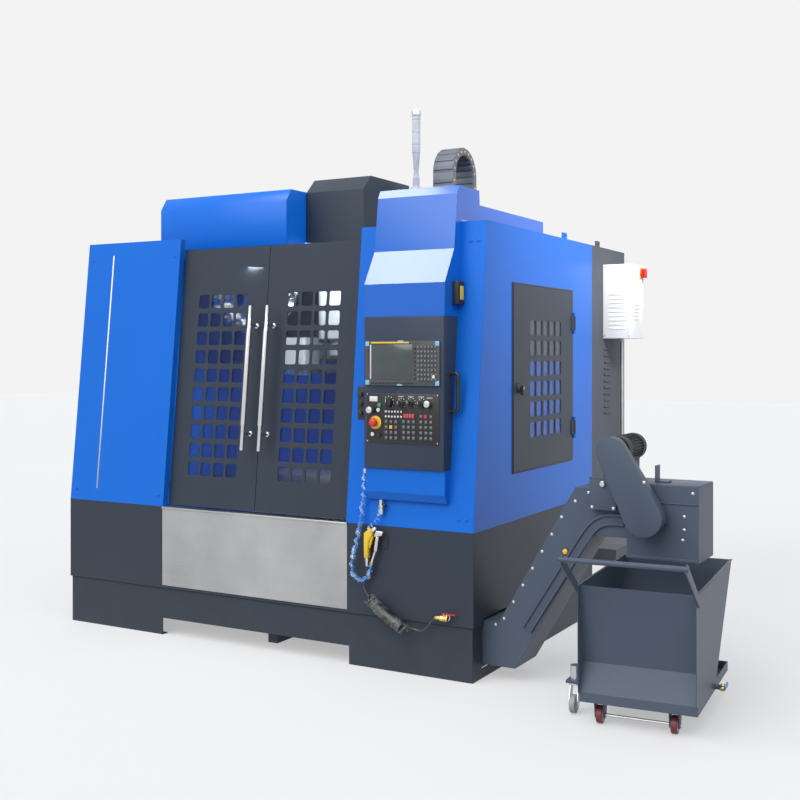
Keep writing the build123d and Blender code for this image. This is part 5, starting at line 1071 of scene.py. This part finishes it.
def makeChainPins():
    c = chainPins
    x, (y, z), radius, count = c["x"], c["centre"], c["radius"], c["archCount"]
    orange = plastic("orangePins", (0.80, 0.36, 0.08), 0.35, grain=700, fade=0.1, coat=0.3)
    turns = [math.pi * (index + 0.5) / count for index in range(count)]
    arch = [(x, y + radius * math.cos(turn), z + radius * math.sin(turn)) for turn in turns]
    side = [(x, y + radius, c["side"]["foot"] + index * c["pitch"]) for index in range(c["side"]["count"])]
    leg = [(x, y - radius, c["leg"]["foot"] + index * c["pitch"]) for index in range(c["leg"]["count"])]
    for name, places, body in (("chainPins", arch + side, "machine"), ("chainLegPins", leg, "head_slide")):
        settle(turnedCopies(name, c["rings"], places, toRight, 16), body, "gun_yellow", orange)
    print("chain pins made")


guns = {
    "y": -1.150,
    "body": [
        (0.7245, 0.549), (0.7455, 0.549), (0.7485, 0.628), (0.772, 0.668),
        (0.758, 0.6995), (0.7225, 0.672), (0.7225, 0.600),
    ],
    "trigger": [(0.7485, 0.598), (0.7535, 0.60), (0.7725, 0.655), (0.7665, 0.66), (0.7475, 0.628)],
    "halves": {"body": 0.014, "trigger": 0.006, "head": 0.0108},
    "bracket": ((0.7155, -1.1238, 0.5965), (0.8375, -1.1202, 0.6755), 0.0015),
    "hooks": ((0.728, 0.744, 0.0135), (0.780, 0.800, 0.0075)),  # left, right and step behind the guns
    "hookUp": (0.606, 0.640),
    "hookBack": -1.121,
    "tipX": 0.734,
    "tip": [
        (0.508, 0.006), (0.511, 0.0078), (0.530, 0.0078), (0.532, 0.0098),
        (0.545, 0.0098), (0.547, 0.0085), (0.553, 0.0085),
    ],
    "nose": [(0, 0.0108), (0.002, 0.0112), (0.018, 0.0098), (0.026, 0.006)],
    "places": {
        "nose": (0.766, 0.684), "lance": (0.757, 0.514), "grip": (0.784, 0.590),
        "lanceNut": (0.7585, 0.5185), "gripNut": (0.7825, 0.584),
    },
    "along": {
        "nose": (0.743, 0, 0.669), "lance": (0.313, 0, 0.950),
        "grip": (0.164, 0, 0.986), "gripNut": (0.25, 0, 0.968),
    },
    "lance": [(0, 0.006), (0.086, 0.006)],
    "grip": [(0, 0.0092), (0.002, 0.0102), (0.066, 0.0102), (0.070, 0.0085)],
    "lanceHead": [(0.7765, 0.6565), (0.8235, 0.6645), (0.8305, 0.6855), (0.7905, 0.6885)],
    "nut": [(0, 0.0085), (0.0015, 0.0098), (0.013, 0.0098), (0.0145, 0.0085)],
}
fittings = {
    "airStep": 0.015,  # the air line stands this far behind the guns
    "airX": 0.806,
    "knobAt": (0.819, 0.812),
    "knobAlong": (1, -0.1, 0),
    "hoseTop": (0.706, -1.124, 0),
    "pipeBack": -1.1215,
    "roseBack": -1.120,
    "stem": [(0.806, 0.0095), (0.8385, 0.0095)],
    "airNut": [
        (0.768, 0.0118), (0.770, 0.0138), (0.786, 0.0138), (0.788, 0.0118),
        (0.80, 0.0118), (0.802, 0.0138), (0.81, 0.0138), (0.812, 0.0118),
    ],
    "airKnob": [(0, 0.006), (0.003, 0.0105), (0.012, 0.0105), (0.015, 0.008)],
    "topNut": [(0.9625, 0.0078), (0.9645, 0.0088), (0.976, 0.0088), (0.985, 0.007)],
    "arm": ((0.7005, -1.1298, 0.9722), (0.727, -1.1182, 0.9838), 0.002),
    "valve": (1.160, 0.300),
    "pipe": [(0, 0.011), (0.001, 0.011), (0.002, 0.0098), (0.018, 0.0098)],
    "rose": [(0, 0.0195), (0.003, 0.0195), (0.005, 0.016)],
    "barrel": [
        (1.112, 0.0075), (1.114, 0.0088), (1.136, 0.0088), (1.138, 0.0125), (1.141, 0.0138), (1.150, 0.0138),
        (1.153, 0.0128), (1.166, 0.0128), (1.169, 0.0138), (1.178, 0.0138), (1.180, 0.012),
    ],
    "neck": [(0.308, 0.009), (0.318, 0.009), (0.320, 0.0078)],
}


def gunPlate(name, outline, key, edge):
    half = guns["halves"][key]
    return drawnPlate(name, outline, (guns["y"] - half, guns["y"] + half), edge)


def makeGuns():
    g, y, chrome, along = guns, guns["y"], finishes["ground_steel"], guns["along"]
    at = {key: (x, y, z) for key, (x, z) in g["places"].items()}
    body = settle(gunPlate("gunBody", g["body"], "body", 0.0045), "machine", "gun_yellow")
    settle(gunPlate("gunTrigger", g["trigger"], "trigger", 0.002), "machine", "gun_yellow")
    low, high = g["hookUp"]
    hooks = [((x0, y + step, low), (x1, g["hookBack"], high), 0.002) for x0, x1, step in g["hooks"]]
    settle(joinBlocks("gunBracket", [g["bracket"]] + hooks), "machine", "motor_paint")
    steelRows = [(g["tip"], (g["tipX"], y, 0), toTop, 6), (g["nose"], at["nose"], along["nose"], 24)]
    settle(joinTurned("gunSteel", steelRows), "machine", "zinc_steel", chrome)
    head = gunPlate("lanceHead", g["lanceHead"], "head", 0.004)
    lanceRows = [(g["lance"], at["lance"], along["lance"], 20), (g["grip"], at["grip"], along["grip"], 24)]
    settle(joinTurned("airLance", lanceRows, [head]), "machine", "zinc_steel", chrome)
    nuts = [(g["nut"], at["lanceNut"], along["lance"], 6), (g["nut"], at["gripNut"], along["gripNut"], 6)]
    settle(joinTurned("lanceBrass", nuts), "machine", "zinc_steel", finishes["cast_brass"])
    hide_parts("wash_guns")
    print("guns made")


def makeFittings():
    f, y = fittings, guns["y"]
    airY, (valveX, valveZ) = y + f["airStep"], f["valve"]
    steelRows = [
        (f["stem"], (f["airX"], airY, 0), toTop, 24),
        (f["airNut"], (f["airX"], airY, 0), toTop, 6),
        (f["topNut"], f["hoseTop"], toTop, 6),
        (f["pipe"], (valveX, f["pipeBack"], valveZ), toFront, 24),
        (f["rose"], (valveX, f["roseBack"], valveZ), toFront, 32),
    ]
    arm = roundedBlock("hoseArm", *f["arm"])
    settle(joinTurned("hoseSteel", steelRows, [arm]), "machine", "zinc_steel", finishes["ground_steel"])
    valveRows = [(f["barrel"], (0, y, valveZ), toRight, 6), (f["neck"], (valveX, y, 0), toTop, 6)]
    valve = settle(joinTurned("ballValve", valveRows), "machine", "zinc_steel", finishes["cast_brass"])
    knobAt = (f["knobAt"][0], airY, f["knobAt"][1])
    knob = turnedPart("airKnob", f["airKnob"], knobAt, f["knobAlong"], 20)
    settle(knob, "machine", "black_plastic")
    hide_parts("hose_fittings")
    print("fittings made")


# each hose is a smooth spline along its own points
airHose = {
    "diameter": 0.010,
    "route": [
        (0.706, -1.124, 0.962), (0.708, -1.130, 0.890), (0.703, -1.140, 0.806), (0.696, -1.152, 0.716),
        (0.686, -1.160, 0.636), (0.664, -1.162, 0.564), (0.650, -1.162, 0.500), (0.665, -1.161, 0.452),
        (0.703, -1.160, 0.432), (0.738, -1.156, 0.448), (0.755, -1.152, 0.482), (0.757, -1.150, 0.514),
    ],
}
waterHose = {
    "diameter": 0.010,
    "lead": [
        (0.733, -1.150, 0.510), (0.734, -1.146, 0.476), (0.722, -1.142, 0.440),
        (0.707, -1.144, 0.404), (0.7393, -1.1379, 0.3594),
    ],
    "coil": [(0.748, -1.160, 0.354), (0.812, -1.161, 0.306), (0.888, -1.161, 0.256), (0.960, -1.161, 0.222)],
    "tail": [
        (0.990, -1.1498, 0.2326), (1.040, -1.156, 0.224), (1.076, -1.152, 0.252),
        (1.094, -1.150, 0.284), (1.112, -1.150, 0.300),
    ],
    "turns": 20.572,
    "first": 0.35,
    "spare": 6.0,
    "radius": 0.0262,
    "perTurn": 14,
    "filmWidth": 0.0648,
}
filmTwist = {
    "turns": 17,
    "radius": 0.0105,
    "backTurns": 12,
    "backRadius": 0.0084,
    "width": 0.0065,
    "gunLine": [
        (0.806, -1.138, 0.800), (0.803, -1.146, 0.760), (0.782, -1.152, 0.728),
        (0.760, -1.152, 0.706), (0.744, -1.150, 0.690),
    ],
    "gunTurns": 5,
    "gunRadius": 0.010,
}


def splineObject(name, points, steps):
    data = bpy.data.curves.new(name, "CURVE")
    data.dimensions = "3D"
    spline = data.splines.new("NURBS")
    spline.points.add(len(points) - 1)
    for place, point in zip(spline.points, points):
        place.co = (*point, 1)
    spline.order_u = 3
    spline.use_endpoint_u = True
    data.resolution_u = steps
    spline.resolution_u = steps
    piece = bpy.data.objects.new(name, data)
    bpy.context.scene.collection.objects.link(piece)
    return piece


def splineLine(points, steps=12):
    # the smooth line that a spline with these control points follows
    holder = splineObject("routeLine", points, steps)
    mesh = bpy.data.meshes.new_from_object(holder)
    line = [vertex.co.copy() for vertex in mesh.vertices]
    bpy.data.meshes.remove(mesh)
    bpy.data.objects.remove(holder)
    return line


def lineLength(line):
    return sum((b - a).length for a, b in zip(line, line[1:]))


def hoseCurve(name, points, diameter, material, steps):
    piece = splineObject(name, points, steps)
    piece.data.bevel_depth = diameter / 2
    piece.data.bevel_resolution = 3
    piece.data.use_fill_caps = True
    piece.data.materials.append(material)
    return piece


def helixAround(line, turns, radius, perTurn, first=0.0, spare=0.0):
    # points that wind round a line; spare draws the first and last turn apart, as on a real curly hose
    marks = [0.0]
    for a, b in zip(line, line[1:]):
        marks.append(marks[-1] + (b - a).length)
    count = int(turns * perTurn)
    steps = [1 + spare * max(0.0, 1 - min(i, count - i) / perTurn) ** 2 for i in range(count + 1)]
    runs = [0.0]
    for a, b in zip(steps, steps[1:]):
        runs.append(runs[-1] + (a + b) / 2)
    points = []
    for index in range(count + 1):
        target = runs[index] / runs[-1] * marks[-1]
        place = min(max(i for i, mark in enumerate(marks) if mark <= target + 1e-9), len(line) - 2)
        along = (line[place + 1] - line[place]).normalized()
        centre = line[place] + along * (target - marks[place])
        side = along.cross(Vector((0, 1, 0))).normalized()
        up = side.cross(along).normalized()
        angle = 2 * math.pi * (first + index / perTurn)
        points.append(centre + (side * math.cos(angle) + up * math.sin(angle)) * radius)
    return points


def clearFilm(name, color, scale, cover):
    # thin wrinkled wrapping film: mostly see-through, with painted glints: the wrinkle crests turn near-white in its
    # colour
    material, tree, shader = newMaterial(name)
    place = addNode(tree, "ShaderNodeTexCoord").outputs["Object"]
    wrinkle = noiseOn(tree, place, scale, 4.0, 0.65)
    # near-white colour on the wrinkle crests is a painted glint, not a reflection
    paintedGlint = mixOn(tree, rangeOn(tree, wrinkle, 0.5, 0.62, 0.0, 1.0), color + (1,), (0.92, 0.94, 0.97, 1))
    tree.links.new(paintedGlint, shader.inputs["Base Color"])
    tree.links.new(rangeOn(tree, wrinkle, 0.42, 0.68, *cover), shader.inputs["Alpha"])
    tree.links.new(rangeOn(tree, wrinkle, 0.3, 0.7, 0.05, 0.25), shader.inputs["Roughness"])
    relief = addNode(tree, "ShaderNodeBump", None, {"Strength": 0.6, "Distance": 0.002})
    tree.links.new(wrinkle, relief.inputs["Height"])
    tree.links.new(relief.outputs["Normal"], shader.inputs["Normal"])
    return material


def settleFilm(film):
    pick(film)
    bpy.ops.object.convert(target="MESH")
    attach(film, "machine")


def makeFilmTwist(name, line, turns, radius, film):
    # a ribbon of wrapping film wound loosely round a hose
    ribbon = hoseCurve(name, helixAround(line, turns, radius, 7), 0.0, film, 3)
    ribbon.data.extrude = filmTwist["width"]
    settleFilm(ribbon)


def makeHoses():
    air = hoseCurve("airHose", airHose["route"], airHose["diameter"], finishes["hose_blue"], 10)
    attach(air, "machine")
    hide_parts("spring_hose")
    airLine = splineLine(airHose["route"])
    w = waterHose
    winding = helixAround(splineLine(w["coil"]), w["turns"], w["radius"], w["perTurn"], w["first"], w["spare"])
    points = [Vector(p) for p in w["lead"]] + winding + [Vector(p) for p in w["tail"]]
    water = hoseCurve("waterHose", points, w["diameter"], finishes["hose_black"], 4)
    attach(water, "machine")
    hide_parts("curly_hose")
    waterLength = lineLength(splineLine(points, 6))
    film = clearFilm("coilWrap", (0.80, 0.82, 0.86), 28.0, (0.0, 0.16))
    settleFilm(hoseCurve("coilFilm", w["coil"], w["filmWidth"], film, 8))
    wrap, t = clearFilm("hoseWrap", (0.30, 0.55, 0.92), 110.0, (0.25, 0.95)), filmTwist
    makeFilmTwist("hoseTwist", airLine, t["turns"], t["radius"], wrap)
    makeFilmTwist("hoseTwistBack", airLine[::-1], t["backTurns"], t["backRadius"], wrap)
    makeFilmTwist("gunTwist", splineLine(t["gunLine"]), t["gunTurns"], t["gunRadius"], wrap)


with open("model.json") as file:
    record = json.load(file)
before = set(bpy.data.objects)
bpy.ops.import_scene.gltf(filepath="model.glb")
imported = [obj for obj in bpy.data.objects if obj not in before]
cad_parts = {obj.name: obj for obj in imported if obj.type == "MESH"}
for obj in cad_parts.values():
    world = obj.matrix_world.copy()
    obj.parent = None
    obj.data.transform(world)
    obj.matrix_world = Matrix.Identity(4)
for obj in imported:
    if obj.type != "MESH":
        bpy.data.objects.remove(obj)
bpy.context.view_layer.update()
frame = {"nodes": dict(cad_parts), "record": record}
finishes = makeFinishes()
makeStage()
dressNodes()
print("stage and finishes ready")
softenSheets()
makeConsole()
makeStopButton()
makeTower()
makeCowlBox()
makeFrontTrim()
makeHandles()
makeSideDoorTrim()
makeSupplyBoxTrim()
makeRearTrim()
makeConveyorTrim()
makeCartTrim()
makeChainPins()
makeGuns()
makeFittings()
makeHoses()
